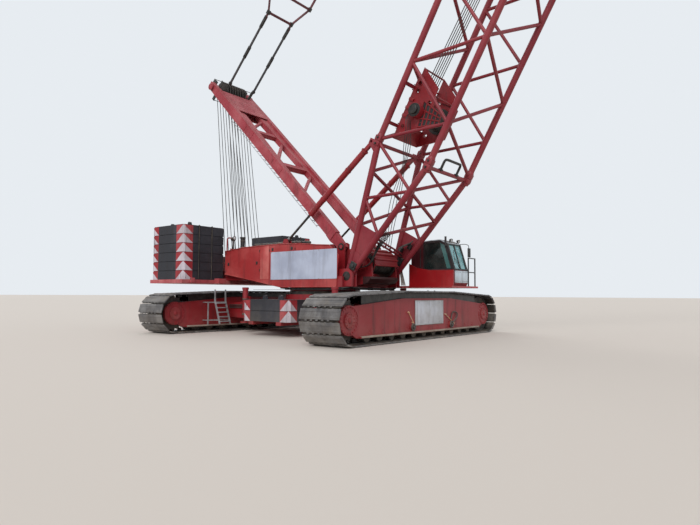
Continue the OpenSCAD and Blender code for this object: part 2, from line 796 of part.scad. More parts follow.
module mast_frame() {
    color(red) difference() {
        union() {
            in_mast() {
                for (sy = [-1, 1]) translate([0, sy * mast_half_y, 0]) {
                    along_y(-leg_foot_t / 2, leg_foot_t / 2)
                        polygon([[-110, -110], [leg_bend_u, -leg_d / 2], [leg_bend_u, leg_d / 2 + 30],
                            [600, leg_d / 2 + 60], [-110, 110]]);
                    along_y(-leg_w / 2, leg_w / 2)
                        polygon([[leg_bend_u - 300, -leg_d / 2], [mast_head_u, -leg_d / 2],
                        [mast_len + 250, -160], [mast_len + 250, 160], [mast_head_u, leg_d / 2],
                            [leg_bend_u - 300, leg_d / 2]]);
                }
                for (b = mast_beams) translate([b[0], 0, 0]) cube([b[1], 2 * mast_half_y, b[1]],
                    center = true);
                bar([mast_beams[0][0] + 80, -mast_half_y, 0], [mast_beams[1][0] - 80, mast_half_y, 0], 130);
                // The head is boxed in, open where the ropes leave its sheaves
                block([mast_head_u, -mast_half_y, -leg_d / 2 + 10], [mast_len - tip_sheave_r - 120,
                    mast_half_y, -leg_d / 2 + 10 + mast_skin]);
                block([mast_head_u, -mast_half_y, leg_d / 2 - 10 - mast_skin],
                    [mast_len - 1100, mast_half_y, leg_d / 2 - 10]);
            }
            for (sy = [-1, 1]) rod_y(mast_x, mast_z, sy * mast_half_y - 175, sy * mast_half_y + 175,
                mast_pin_r);
        }
        in_mast() for (sy = [-1, 1]) rod_y(mast_len, 0, sy * mast_half_y - 300, sy * mast_half_y + 300,
            60 + bore_play);
    }
}

module mast_sheaves() {
    color(dark) in_mast() {
        rod_y(mast_len, 0, -mast_half_y - 200, mast_half_y + 200, 60);
        for (i = [0 : rope_rows - 1]) sheave(mast_len, 0, row_y(i, tip_rope_half), tip_sheave_r, 40);
    }
}

module in_boom() {
    translate([foot_x, 0, foot_z]) rotate([0, -boom_angle, 0]) children();
}

rear_v = boom_depth / 2;
stop_lift = 220;
stop_back = 110;
joint_1 = foot_len + 5 * half_bay;
joint_2 = joint_1 + 8 * half_bay;
joint_3 = joint_2 + 8 * half_bay;
taper_u = joint_3 + half_bay;
plate_u = boom_len - 700;
head_drop = 1100;
stay_u = boom_len - 400;
stay_v = 1000;
head_v = 450;
head_half_y = 620;

foot_v = 110;
foot_chord_u = 420;
foot_lug_u = 900;
web_u = 1850;
web_t = 50;
foot_taper_u = 300;

// Centre of the chord on side sy and face sv at a distance along the boom
function chord_at(u, sy, sv) =
    let (t = max(0, (u - taper_u) / (plate_u - taper_u)),
         v = u < foot_len ? mix(foot_v, rear_v, (u - foot_taper_u) / (foot_len - foot_taper_u))
             : mix(rear_v, head_v, t))
    [u, sy * mix(chord_half_y, head_half_y, t), sv * v];

// Lacing of one stretch between its stations: the side faces and the front face start
// on one side, the rear face on its own, and each zigzags between its two chords
module lacing(stations, start, rear_start) {
    for (i = [0 : len(stations) - 2]) {
        a = stations[i];
        b = stations[i + 1];
        s = i % 2 == 0 ? start : -start;
        r = i % 2 == 0 ? rear_start : -rear_start;
        for (sy = [-1, 1]) bar(chord_at(a, sy, s), chord_at(b, sy, -s), side_lace_d);
        bar(chord_at(a, s, -1), chord_at(b, -s, -1), lace_d);
        bar(chord_at(a, r, 1), chord_at(b, -r, 1), lace_d);
    }
}

function even_stations(u0, bays, bay) = [for (i = [0 : bays]) u0 + i * bay];

module end_tie(u) {
    for (sv = [-1, 1]) bar(chord_at(u, -1, sv), chord_at(u, 1, sv), tie_d);
}

// Forks and pins that join two lengths of the boom
connector_len = 180;
connector_w = 250;

module connectors(u, dir) {
    for (sy = [-1, 1], sv = [-1, 1]) {
        translate([u + dir * connector_len / 2, sy * chord_half_y, sv * rear_v])
            cube([connector_len, connector_w, connector_w], center = true);
        bar([u + dir * 110, sy * chord_half_y - 165, sv * rear_v],
            [u + dir * 110, sy * chord_half_y + 165, sv * rear_v], 80, 8);
    }
}

module chords(u0, u1) {
    for (sy = [-1, 1], sv = [-1, 1])
        bar([u0, sy * chord_half_y, sv * rear_v], [u1, sy * chord_half_y, sv * rear_v], chord_d, 8);
}

module between(u0, u1) {
    intersection() {
        children();
        block([u0, -3000, -3000], [u1, 3000, 3000]);
    }
}

module lattice_section(u0, bays, start) {
    u1 = u0 + bays * half_bay;
    color(red) in_boom() union() {
        between(u0 + gap, u1 - gap) union() {
            chords(u0, u1);
            lacing(even_stations(u0, bays, half_bay), start, -start);
            connectors(u0, 1);
            connectors(u1, -1);
        }
        children();
    }
}

foot_stations = [foot_len - 25, 3650, 2720, 1800];
stop_eye_v = rear_v + stop_lift;

module boom_foot() {
    color(red) in_boom() difference() {
        union() {
            between(-500, foot_len - gap) union() {
                for (sy = [-1, 1]) {
                    translate([0, sy * chord_half_y, 0]) {
                        along_y(-foot_plate_t / 2, foot_plate_t / 2)
                            polygon([[-130, -100], [-60, -170], [200, -200],
                            [foot_lug_u, -290], [foot_lug_u, 290], [200, 200], [-60, 170], [-130, 100]]);
                        along_y(-web_t / 2, web_t / 2)
                            polygon([for (c = [[200, -1], [web_u, -1], [web_u, 1], [200, 1]])
                            [c[0], chord_at(c[0], 1, c[1])[2]]]);
                        for (y = [-1, 1]) along_y(y * (stop_eye_half + play + 15) - 15,
                            y * (stop_eye_half + play + 15) + 15)
                            polygon([[foot_len - 400, rear_v - 40], [foot_len - 10, rear_v - 40],
                                [foot_len - 10, stop_eye_v + 90], [foot_len - 200, stop_eye_v + 90]]);
                    }
                    for (sv = [-1, 1]) bar(chord_at(foot_chord_u, sy, sv), chord_at(foot_len, sy, sv),
                        chord_d, 8);
                }
                lacing(foot_stations, 1, 1);
                end_tie(foot_len - 95);
                connectors(foot_len, -1);
            }
            for (sy = [-1, 1]) rod_y(0, 0, sy * chord_half_y - 160, sy * chord_half_y + 160, foot_pin_r);
        }
        for (sy = [-1, 1]) rod_y(foot_len - stop_back, stop_eye_v, sy * chord_half_y - 200,
            sy * chord_half_y + 200, 40 + bore_play);
    }
}

module boom_lower() {
    lattice_section(foot_len, 5, 1)
        for (u = winch_beam_u) translate([u, 0, rear_v]) cube([120, 2 * chord_half_y, 120], center = true);
}

module boom_middle_1() {
    lattice_section(joint_1, 8, -1);
}

module boom_middle_2() {
    lattice_section(joint_2, 8, -1);
}

head_bays = 4;
head_bay = (plate_u - taper_u) / head_bays;

// Side plate of the head: it carries the sheaves clear in front of the chords
head_plate = [[plate_u - 300, -head_v - 60], [boom_len - 250, -head_drop - 220],
    [boom_len + 200, -head_drop - 200],
    [boom_len + 260, -head_drop + 100], [boom_len + 150, 150], [boom_len - 200, head_v + 110],
        [plate_u - 300, head_v + 60]];

module boom_head() {
    color(red) in_boom() difference() {
        union() {
            between(joint_3 + gap, boom_len) union() {
                chords(joint_3, taper_u);
                connectors(joint_3, 1);
                lacing([joint_3, taper_u], -1, 1);
                end_tie(taper_u + 5);
                lacing(even_stations(taper_u, head_bays, head_bay), 1, -1);
                for (sy = [-1, 1], sv = [-1, 1]) {
                    bar(chord_at(taper_u, sy, sv), chord_at(plate_u, sy, sv), chord_d, 8);
                    translate(chord_at(taper_u, sy, sv)) cube(chord_d + 20, center = true);
                }
            }
            for (sy = [-1, 1]) along_y(sy * head_half_y - 40, sy * head_half_y + 40) polygon(head_plate);
            for (sv = [-1, 1]) translate([plate_u - 120, 0, sv * head_v])
                cube([160, 2 * head_half_y, 150], center = true);
            for (sy = [-1, 1]) along_y(sy * (head_half_y + 40), sy * (head_half_y + 100))
                polygon([[stay_u - 260, head_v - 100], [stay_u + 260, head_v - 100],
                    [stay_u + 80, stay_v + 90], [stay_u - 80, stay_v + 90]]);
        }
        rod_y(boom_len, -head_drop, -head_half_y - 100, head_half_y + 100, 75 + bore_play);
        for (sy = [-1, 1])
            rod_y(stay_u, stay_v, sy * (head_half_y + 70) - 60, sy * (head_half_y + 70) + 60,
                45 + bore_play);
    }
}

module head_sheaves() {
    color(dark) in_boom() {
        rod_y(boom_len, -head_drop, -head_half_y - 80, head_half_y + 80, 75);
        for (i = [0 : sheave_count - 1])
            sheave(boom_len, -head_drop, (i - (sheave_count - 1) / 2) * sheave_pitch, sheave_r, 45);
    }
}

winch_u = 6100;
winch_v = 500;
winch_beam_u = [winch_u - 700, winch_u + 700];
winch_plate_y = 760;
winch_plate_t = 80;
drum_r = 330;
drum_axle_r = 90;
winch_top_v = rear_v - 60 - gap;
drum_half = 620;
gear_r = 240;
gear_len = 280;

// Two side plates with lightening holes round a drum, one with its gearbox
module winch_plates(x, z, outline) {
    for (sy = [-1, 1]) difference() {
        union() {
            along_y(sy * winch_plate_y - winch_plate_t / 2, sy * winch_plate_y + winch_plate_t / 2)
                polygon(outline);
            if (sy < 0) rod_y(x, z, -winch_plate_y - winch_plate_t / 2 - gear_len, -winch_plate_y, gear_r);
        }
        rod_y(x, z, sy * winch_plate_y - winch_plate_t, sy * winch_plate_y + winch_plate_t,
            drum_axle_r + bore_play);
    }
}

module hoist_winch_frame() {
    color(red) in_boom() {
        difference() {
            winch_plates(winch_u, winch_v, [[winch_u - 500, 60], [winch_u + 600, 60],
                [winch_u + 1100, winch_top_v], [winch_u - 1150, winch_top_v]]);
            for (c = [[-640, 870], [640, 870], [900, 900], [-380, 230], [400, 230]])
                rod_y(winch_u + c[0], c[1], -2000, 2000, 75);
        }
        block([winch_u - 1150, -winch_plate_y, winch_top_v - 40], [winch_u - 560, winch_plate_y,
            winch_top_v]);
    }
}

module drum(x, z, half) {
    rod_y(x, z, -half, half, drum_r);
    for (sy = [-1, 1]) rod_y(x, z, sy * half - 30, sy * half + 30, drum_r + 140);
    rod_y(x, z, -half - 180, half + 180, drum_axle_r);
}

module hoist_drum() {
    color(dark) in_boom() drum(winch_u, winch_v, drum_half);
}

luff_winch_x = 2450;
luff_winch_z = nose_top_z + 480;

module luffing_winch_frame() {
    color(red) translate([0, 0, gap]) winch_plates(luff_winch_x, luff_winch_z,
        [[luff_winch_x - 520, nose_top_z], [luff_winch_x + 440, nose_top_z],
            [luff_winch_x + 400, luff_winch_z + 40],
         [luff_winch_x + 180, luff_winch_z + 230], [luff_winch_x - 180, luff_winch_z + 230],
             [luff_winch_x - 400, luff_winch_z + 40]]);
}

module luffing_drum() {
    color(dark) translate([0, 0, gap]) drum(luff_winch_x, luff_winch_z, drum_half);
}

function boom_to_row(u, v) =
    [foot_x + u * cos(boom_angle) - v * sin(boom_angle),
        foot_z + u * sin(boom_angle) + v * cos(boom_angle)];
stay_top = boom_to_row(stay_u, stay_v);
stay_low = [tip_x + 780, tip_z + 120];
stay_run = norm(stay_top - stay_low);
stay_angle = atan2(stay_top[1] - stay_low[1], stay_top[0] - stay_low[0]);
stay_high_y = head_half_y + 70;
spread_u = [3550, 4500];
spread_half_y = 1200;
spread_t = 100;

stay_path = [[60, stay_half_y], [spread_u[0], stay_half_y], [spread_u[1], spread_half_y],
    [stay_run - 200, stay_high_y]];

module stay_bars() {
    color(red) translate([stay_low[0], 0, stay_low[1]]) rotate([0, -stay_angle, 0]) {
        for (i = [0, 1]) translate([spread_u[i], 0, 0])
            cube([spread_t, 2 * [stay_half_y, spread_half_y][i], spread_t], center = true);
        for (sy = [-1, 1]) {
            translate([0, 0, -stay_d / 2]) linear_extrude(stay_d)
                polygon(concat([for (p = stay_path) [p[0], sy * (p[1] + stay_t / 2)]],
                    [for (i = [len(stay_path) - 1 : -1 : 0]) [stay_path[i][0],
                        sy * (stay_path[i][1] - stay_t / 2)]]));
            rod_y(0, 0, sy * stay_half_y - stay_t / 2, sy * stay_half_y + stay_t / 2, 90);
            for (side = [-1, 1]) {
                y = sy * stay_high_y + side * (30 + gap + 15);
                along_y(y - 15, y + 15) translate([stay_run, 0])
                    polygon([[-330, -50], [-60, -90], [60, -90], [90, 0], [60, 90], [-60, 90], [-330, 50]]);
            }
            rod_y(stay_run, 0, sy * stay_high_y - 70, sy * stay_high_y + 70, 45);
            translate([stay_run - 270, sy * stay_high_y, 0]) cube([120, 92, 100], center = true);
        }
    }
}

stop_top = boom_to_row(foot_len - stop_back, rear_v + stop_lift);
stop_run = norm(stop_top - stop_low);
stop_angle = atan2(stop_top[1] - stop_low[1], stop_top[0] - stop_low[0]);
stop_tube_len = 3700;
stop_neck = 420;

module in_stop() {
    for (sy = [-1, 1]) translate([stop_low[0], sy * chord_half_y, stop_low[1]])
        rotate([0, -stop_angle, 0]) children();
}

module back_stop_tubes() {
    color(red) in_stop() difference() {
        union() {
            rod_x(0, 0, stop_run - stop_tube_len, stop_run - stop_neck, stop_tube_r);
            block([stop_run - stop_neck - 20, -stop_eye_half, -60], [stop_run, stop_eye_half, 60]);
            rod_y(stop_run, 0, -stop_eye_half, stop_eye_half, 85);
            rod_y(stop_run, 0, -stop_eye_half - 50, stop_eye_half + 50, 40);
        }
        rod_x(0, 0, stop_run - stop_tube_len - 1, stop_run - stop_neck - 60, stop_rod_r + bore_play);
    }
}

module back_stop_rods() {
    color(dark) in_stop() {
        rod_x(0, 0, 60, stop_run - 1500, stop_rod_r);
        rod_y(0, 0, -stop_eye_half, stop_eye_half, 75);
    }
}

head_axle = boom_to_row(boom_len, -head_drop);
fall_x = head_axle[0];
block_z = head_axle[1] - fall_len;
block_sheave_r = 400;
fall_count = sheave_count - 1;
function fall_y(i) = (i - (fall_count - 1) / 2) * sheave_pitch;

// The rope goes down to a block sheave and up again to the next head sheave

module hook_falls() {
    color(dark) for (i = [0 : fall_count - 1], s = [-1, 1])
        rope([fall_x, block_z], fall_y(i), block_sheave_r, head_axle, fall_y(i) - s * sheave_pitch / 2,
            sheave_r, s);
}

module hook_block() {
    color(red) for (sy = [-1, 1]) along_y(sy * 390, sy * 450)
        translate([fall_x, block_z]) circle(r = block_sheave_r + 60, $fn = 48);
    color(dark) {
        rod_y(fall_x, block_z, -390, 390, 70);
        for (i = [0 : fall_count - 1]) sheave(fall_x, block_z, fall_y(i), block_sheave_r, 40);
        difference() {
            block([fall_x - 130, -450, block_z - 620],
                [fall_x + 130, 450, block_z - block_sheave_r - rim_h - 20]);
            translate([fall_x, 0, block_z - 700]) cylinder(r = 60 + bore_play, h = 400, $fn = 48);
        }
    }
}

module hook() {
    color(dark) translate([fall_x, 0, block_z]) {
        translate([0, 0, -880]) cylinder(r = 60, h = 430, $fn = 48);
        translate([0, 0, -880]) cylinder(r = 110, h = 620 - 360 - 1, $fn = 48);
        translate([0, 0, -880 - hook_r]) rotate([90, 0, 0]) rotate([0, 0, 90])
            rotate_extrude(angle = 290, $fn = 48) translate([hook_r, 0]) circle(r = 65, $fn = 24);
    }
}

// Side view of the cab: leaning windscreen above an upright front panel, roof falling to both ends
roof_x = 4050;
brow = [4330, 3500];
cab_outline = [[cab_rear_x, cab_low_z], [cab_front_x - 50, cab_low_z], [cab_front_x, cab_low_z + 100],
    [cab_front_x, sill_z], brow, [roof_x, cab_top_z], [cab_rear_x + 700, cab_top_z - 20],
        [cab_rear_x, cab_top_z - 90]];
screen_low = [cab_front_x, sill_z];
side_window = inset([[cab_rear_x + 500, sill_z - 40], [cab_front_x, sill_z - 40], brow, [roof_x, cab_top_z],
    [cab_rear_x + 500, cab_top_z - 30]], 110);
door_top_z = 3440;
door_outline = inset([[cab_rear_x + 560, cab_low_z + 60], [cab_front_x, cab_low_z + 60], screen_low,
    mix(screen_low, brow, (door_top_z - sill_z) / (brow[1] - sill_z)), [cab_rear_x + 560, door_top_z]], 60);
door_t = 40;
// The door hangs on the upper rail by two hooks
door_rail_z = door_top_z - 10;
door_rail_y = cab_outer_y + play + door_t + 20;
hanger_x = [3500, 3880];
screen_edge = 90;

module cab_shell() {
    color(red) difference() {
        along_y(cab_inner_y, cab_outer_y) polygon(cab_outline);
        along_y(cab_inner_y + cab_wall, cab_outer_y - cab_wall) polygon(inset(cab_outline, cab_wall));
        along_y(cab_inner_y - 1, cab_inner_y + cab_wall + 1) polygon(side_window);
        along_y(cab_outer_y - cab_wall - 1, cab_outer_y + 1) polygon(inset(door_outline, 40));
        along_y(cab_inner_y + screen_edge, cab_outer_y - screen_edge)
            polygon(strip(mix(screen_low, brow, 0.05), mix(screen_low, brow, 0.94), -5, cab_wall + 5));
        block([cab_rear_x - 1, cab_inner_y + 250, sill_z + 100], [cab_rear_x + cab_wall + 1,
            cab_outer_y - 250, cab_top_z - 250]);
    }
    color(red) for (z = [cab_low_z + 80, door_rail_z - 30])
        block([cab_rear_x, cab_outer_y, z], [roof_x - 60, door_rail_y, z + 30]);
    color(dark) translate([brow[0] - 20, cab_inner_y - 45, brow[1] - 120])
        cylinder(r = 40, h = 330, $fn = 32);
    color(dark) block([brow[0] - 60, cab_inner_y - 45, brow[1] - 120], [brow[0] + 20, cab_inner_y,
        brow[1] - 60]);
}

module cab_windows() {
    color(teal) {
        along_y(cab_inner_y + 20, cab_inner_y + 20 + pane_t) polygon(inset(side_window, gap));
        along_y(cab_inner_y + screen_edge + gap, cab_outer_y - screen_edge - gap)
            polygon(strip(mix(screen_low, brow, 0.0505), mix(screen_low, brow, 0.9395), 20, 20 + pane_t));
        block([cab_rear_x + 20, cab_inner_y + 250 + gap, sill_z + 100 + gap],
            [cab_rear_x + 20 + pane_t, cab_outer_y - 250 - gap, cab_top_z - 250 - gap]);
    }
}

module cab_door() {
    color(red) difference() {
        along_y(cab_outer_y + play, cab_outer_y + play + door_t) polygon(door_outline);
        along_y(cab_outer_y, cab_outer_y + play + door_t + 1) intersection() {
            polygon(inset(door_outline, 90));
            translate([0, sill_z]) square([2 * cab_front_x, cab_top_z]);
        }
    }
    y0 = cab_outer_y + play + door_t;
    y1 = door_rail_y + gap;
    color(red) for (x = hanger_x) along_x(x, x + 60)
        polygon([[y0 - 1, door_rail_z - 130], [y1 + 20, door_rail_z - 130],
        [y1 + 20, door_rail_z + 20], [y1 - 50, door_rail_z + 20], [y1 - 50, door_rail_z + gap],
            [y1, door_rail_z + gap],
        [y1, door_rail_z - 90], [y0 - 1, door_rail_z - 90]]);
}

seat_x = 3250;
seat_y = 2600;

module cab_seat() {
    floor_z = cab_low_z + cab_wall + gap;
    color(dark) {
        block([seat_x + 60, seat_y - 180, floor_z], [seat_x + 420, seat_y + 180, floor_z + 380]);
        block([seat_x, seat_y - 240, floor_z + 380], [seat_x + 500, seat_y + 240, floor_z + 500]);
        along_y(seat_y - 240, seat_y + 240) polygon([[seat_x, floor_z + 500], [seat_x + 120, floor_z + 500],
            [seat_x + 20, floor_z + 1120], [seat_x - 80, floor_z + 1120]]);
    }
    for (sy = [-1, 1]) color(dark)
        along_y(seat_y + sy * 320 - 60, seat_y + sy * 320 + 60)
            polygon([[seat_x + 60, floor_z], [seat_x + 560, floor_z], [seat_x + 640, floor_z + 600],
                [seat_x + 100, floor_z + 560]]);
}

rail_y = 3800;
rail_t = 40;
rail_top_z = 2980;
rail_mid_z = 2420;
loop_x = 4620;
walk_t = 75;
skirt_y = [1960, 2000];

module cab_platform() {
    walk_z = cab_low_z - gap;
    color(red) {
        block([platform_front_x - 600, platform_half_w, walk_z - walk_t],
            [cab_front_x + 100, rail_y + rail_t + 30, walk_z]);
        along_y(skirt_y[0], skirt_y[1])
            polygon([[cab_rear_x - 50, walk_z - 10], [cab_front_x, walk_z - 10], [cab_front_x, sill_z],
            [4300, sill_z - 10], [3600, sill_z + 20], [3050, sill_z + 120],
                [cab_rear_x - 50, sill_z + 290]]);
        for (x = [2900, 3900]) block([x, skirt_y[1] - 1, sill_z - 300], [x + 60, cab_inner_y - gap,
            sill_z - 200]);
    }
    color(dark) {
        for (x = [2000, 2900, 3760]) block([x, rail_y, walk_z], [x + rail_t, rail_y + rail_t, rail_top_z]);
        for (y = [3220, rail_y]) block([loop_x, y, walk_z], [loop_x + rail_t, y + rail_t, rail_top_z]);
        for (z = [rail_mid_z, rail_top_z]) {
            block([2000, rail_y, z - rail_t], [3760 + rail_t, rail_y + rail_t, z]);
            block([loop_x, 3220, z - rail_t], [loop_x + rail_t, rail_y + rail_t, z]);
        }
    }
}

car_body();
slewing_ring();
track_frame_front();
track_frame_back();
track_front();
track_back();
drive_sprockets();
idler_wheels();
track_rollers();
central_ballast();
jack_legs();
access_steps();
platform_frame();
side_panels();
engine_block();
engine_house();
roof_fittings();
counterweight_tray();
counterweight_right();
counterweight_left();
rear_sheaves();
cab_shell();
cab_windows();
cab_door();
cab_seat();
cab_platform();
luffing_winch_frame();
luffing_drum();
mast_frame();
mast_sheaves();
luffing_ropes();
boom_foot();
boom_lower();
boom_middle_1();
boom_middle_2();
boom_head();
head_sheaves();
hoist_winch_frame();
hoist_drum();
stay_bars();
back_stop_tubes();
back_stop_rods();
hook_falls();
hook_block();
hook();
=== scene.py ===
import math

import bmesh
import bpy
from mathutils import Matrix, Vector


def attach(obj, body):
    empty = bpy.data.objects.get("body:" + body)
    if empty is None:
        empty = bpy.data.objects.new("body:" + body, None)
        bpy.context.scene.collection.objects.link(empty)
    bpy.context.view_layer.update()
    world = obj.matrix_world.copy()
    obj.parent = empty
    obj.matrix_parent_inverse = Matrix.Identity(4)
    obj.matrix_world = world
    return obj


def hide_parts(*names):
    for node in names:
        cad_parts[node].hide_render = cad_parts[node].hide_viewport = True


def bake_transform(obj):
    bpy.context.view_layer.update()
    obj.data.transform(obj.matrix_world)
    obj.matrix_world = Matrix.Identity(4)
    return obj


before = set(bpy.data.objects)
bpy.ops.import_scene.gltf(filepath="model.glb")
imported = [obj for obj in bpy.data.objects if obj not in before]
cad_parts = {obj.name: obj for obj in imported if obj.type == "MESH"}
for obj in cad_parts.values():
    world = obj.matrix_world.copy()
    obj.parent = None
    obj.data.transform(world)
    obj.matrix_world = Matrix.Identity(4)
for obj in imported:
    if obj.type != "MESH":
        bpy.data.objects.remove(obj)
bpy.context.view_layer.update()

# Camera: it stands low on the ground ahead of the crane's right side and looks back along the crane.
# Place, heading, pitch and roll are the photograph's, and so is its wide lens.
EYE = Vector((14.601, -16.879, 1.506))
HEADING, PITCH, ROLL = math.radians(128.34), math.radians(3.283), math.radians(0.283)
ahead = Vector((math.cos(HEADING) * math.cos(PITCH), math.sin(HEADING) * math.cos(PITCH), math.sin(PITCH)))
level = Vector((math.sin(HEADING), -math.cos(HEADING), 0))
upward = level.cross(ahead)
right = level * math.cos(ROLL) + upward * math.sin(ROLL)
above = upward * math.cos(ROLL) - level * math.sin(ROLL)
camera = bpy.data.objects.new("camera", bpy.data.cameras.new("camera"))
bpy.context.scene.collection.objects.link(camera)
camera.matrix_world = Matrix.Translation(EYE) @ Matrix((right, above, -ahead)).transposed().to_4x4()
FOCAL_PIXELS, PHOTO_WIDTH, SENSOR = 557.4, 700, 36
camera.data.sensor_width = SENSOR
camera.data.lens = SENSOR * FOCAL_PIXELS / PHOTO_WIDTH
camera.data.clip_start, camera.data.clip_end = 0.1, 900
bpy.context.scene.camera = camera

# Studio: a pale floor under everything, a pale backdrop and soft light from a bright sky,
# one wide lamp from the camera's left and a weaker one from behind.
scene = bpy.context.scene
scene.view_settings.view_transform = "Standard"


def new_object(name, data):
    made = bpy.data.objects.new(name, data)
    scene.collection.objects.link(made)
    return made


def add(tree, kind, **settings):
    node = tree.nodes.new(kind if kind.startswith("Node") else "ShaderNode" + kind)
    for key, value in settings.items():
        setattr(node, key, value)
    return node


def value_of(tree, operation, *values, clamp=False):
    node = add(tree, "Math", operation=operation, use_clamp=clamp)
    for place, value in enumerate(values):
        if isinstance(value, (float, int)):
            node.inputs[place].default_value = value
        else:
            tree.links.new(value, node.inputs[place])
    return node.outputs[0]


def new_material(name):
    """A material with its node tree and its shader."""
    made = bpy.data.materials.new(name)
    made.use_nodes = True
    return made, made.node_tree, made.node_tree.nodes["Principled BSDF"]


def preset(node, **values):
    """Sets sockets by their names, a space written as _."""
    for socket, value in values.items():
        node.inputs[socket.replace("_", " ")].default_value = value


def sun(name, toward, strength, spread):
    light = bpy.data.lights.new(name, "SUN")
    light.energy, light.angle = strength, math.radians(spread)
    new_object(name, light).rotation_euler = Vector(toward).to_track_quat("-Z", "Y").to_euler()


sun("key_lamp", (-0.35, 0.75, -0.62), 1.7, 30)
sun("rim_lamp", (0.75, -0.35, -0.55), 0.7, 40)

world = bpy.data.worlds.new("sky")
world.use_nodes = True
scene.world = world
sky = world.node_tree
for node in list(sky.nodes):
    sky.nodes.remove(node)
rays = add(sky, "LightPath").outputs
backdrop = value_of(sky, "ADD", rays["Is Camera Ray"], rays["Is Glossy Ray"], clamp=True)
backdrop = value_of(sky, "ADD", backdrop, rays["Is Transmission Ray"], clamp=True)
choose = add(sky, "MixShader")
sky.links.new(backdrop, choose.inputs[0])
for place, colour, strength in ((1, (0.93, 0.96, 1, 1), 0.55), (2, (0.80, 0.84, 0.88, 1), 1)):
    shine = add(sky, "Background")
    preset(shine, Color=colour, Strength=strength)
    sky.links.new(shine.outputs[0], choose.inputs[place])
sky.links.new(choose.outputs[0], add(sky, "OutputWorld").inputs[0])

FLOOR_HALF = 450
bm = bmesh.new()
bmesh.ops.create_grid(bm, x_segments=1, y_segments=1, size=FLOOR_HALF)
mesh = bpy.data.meshes.new("floor")
bm.to_mesh(mesh)
bm.free()
floor = new_object("floor", mesh)
pale, tree, shader = new_material("pale_floor")
preset(shader, Base_Color=(0.66, 0.60, 0.54, 1), Roughness=0.95)
floor.data.materials.append(pale)

# Track shoes: 60 cast steel pads in each chain, pinned to each other through knuckles, with two low
# ribs across the outside and a guide horn inside. They are worn to grey steel, dry with dust and clay.


def mix_colour(tree, factor, under, over):
    node = add(tree, "Mix", data_type="RGBA")
    for socket, value in ((0, factor), (6, under), (7, over)):
        if isinstance(value, (tuple, float, int)):
            node.inputs[socket].default_value = value
        else:
            tree.links.new(value, node.inputs[socket])
    return node.outputs[2]


def spread_of(tree, value, low, high, top=1.0):
    node = add(tree, "MapRange", interpolation_type="SMOOTHSTEP")
    tree.links.new(value, node.inputs["Value"])
    for socket, bound in (("From Min", low), ("From Max", high)):
        if isinstance(bound, float):
            node.inputs[socket].default_value = bound
        else:
            tree.links.new(bound, node.inputs[socket])
    node.inputs["To Max"].default_value = top
    return node.outputs["Result"]


def noise_of(tree, place, scale, detail, roughness=0.55, stretch=None):
    if stretch:
        drawn_out = add(tree, "Mapping")
        preset(drawn_out, Scale=stretch)
        tree.links.new(place, drawn_out.inputs["Vector"])
        place = drawn_out.outputs[0]
    node = add(tree, "TexNoise")
    tree.links.new(place, node.inputs["Vector"])
    if isinstance(scale, (float, int)):
        node.inputs["Scale"].default_value = scale
    else:
        tree.links.new(scale, node.inputs["Scale"])
    preset(node, Detail=detail, Roughness=roughness)
    return node.outputs["Fac"]


def point_of(tree):
    """The point on the object, as a socket."""
    return add(tree, "TexCoord").outputs["Object"]


def parts_of(tree, vector):
    """The X, Y and Z of a vector, as sockets."""
    node = add(tree, "SeparateXYZ")
    tree.links.new(vector, node.inputs[0])
    return node.outputs


def new_group(name, wants, gives):
    tree = bpy.data.node_groups.new(name, "ShaderNodeTree")
    for socket, kind, value in wants:
        made = tree.interface.new_socket(socket, in_out="INPUT", socket_type="NodeSocket" + kind)
        made.default_value = value
    for socket, kind in gives:
        tree.interface.new_socket(socket, in_out="OUTPUT", socket_type="NodeSocket" + kind)
    return tree, add(tree, "NodeGroupInput").outputs, add(tree, "NodeGroupOutput").inputs


weather, given, put = new_group(
    "site_weathering",
    (("Clean", "Color", (0.2, 0.02, 0.02, 1)), ("Faded", "Color", (0.3, 0.06, 0.06, 1)),
     ("Grime", "Color", (0.03, 0.02, 0.02, 1)), ("Rust", "Color", (0.12, 0.045, 0.02, 1)),
     ("Dust", "Color", (0.33, 0.28, 0.22, 1)), ("Fade Size", "Float", 0.8), ("Streaks", "Float", 0.4),
     ("Rusting", "Float", 0.3), ("Dusting", "Float", 0.5), ("Gloss", "Float", 0.4)),
    (("Color", "Color"), ("Roughness", "Float"), ("Height", "Float")))
spot = point_of(weather)
fade = spread_of(weather, noise_of(weather, spot, given["Fade Size"], 6, 0.6), 0.40, 0.66)
streak = spread_of(weather, noise_of(weather, spot, 1, 6, 0.7, (5, 5, 0.45)), 0.48, 0.74)
streak = value_of(weather, "MULTIPLY", streak, given["Streaks"], clamp=True)
bite = value_of(weather, "MULTIPLY_ADD", given["Rusting"], -0.22, 0.74)
rust = spread_of(weather, noise_of(weather, spot, 7, 9, 0.72), bite, value_of(weather, "ADD", bite, 0.07))
facing = parts_of(weather, add(weather, "NewGeometry").outputs["Normal"])
lying = spread_of(weather, facing["Z"], 0.2, 0.95)
patchy = spread_of(weather, noise_of(weather, spot, 2.6, 6, 0.65), 0.25, 0.70)
depth = value_of(weather, "MULTIPLY", parts_of(weather, spot)["Z"], -1.0)
splash = spread_of(weather, depth, -1.5, -0.1, 0.75)
dust = value_of(weather, "MULTIPLY", value_of(weather, "MAXIMUM", lying, splash), patchy)
dust = value_of(weather, "MULTIPLY", dust, given["Dusting"], clamp=True)
grit = noise_of(weather, spot, 55, 4, 0.6)
colour = mix_colour(weather, fade, given["Clean"], given["Faded"])
colour = mix_colour(weather, streak, colour, given["Grime"])
colour = mix_colour(weather, rust, colour, given["Rust"])
colour = mix_colour(weather, dust, colour, given["Dust"])
weather.links.new(colour, put["Color"])
dull = value_of(weather, "MULTIPLY_ADD", streak, 0.18, given["Gloss"])
dull = value_of(weather, "MULTIPLY_ADD", rust, 0.35, dull)
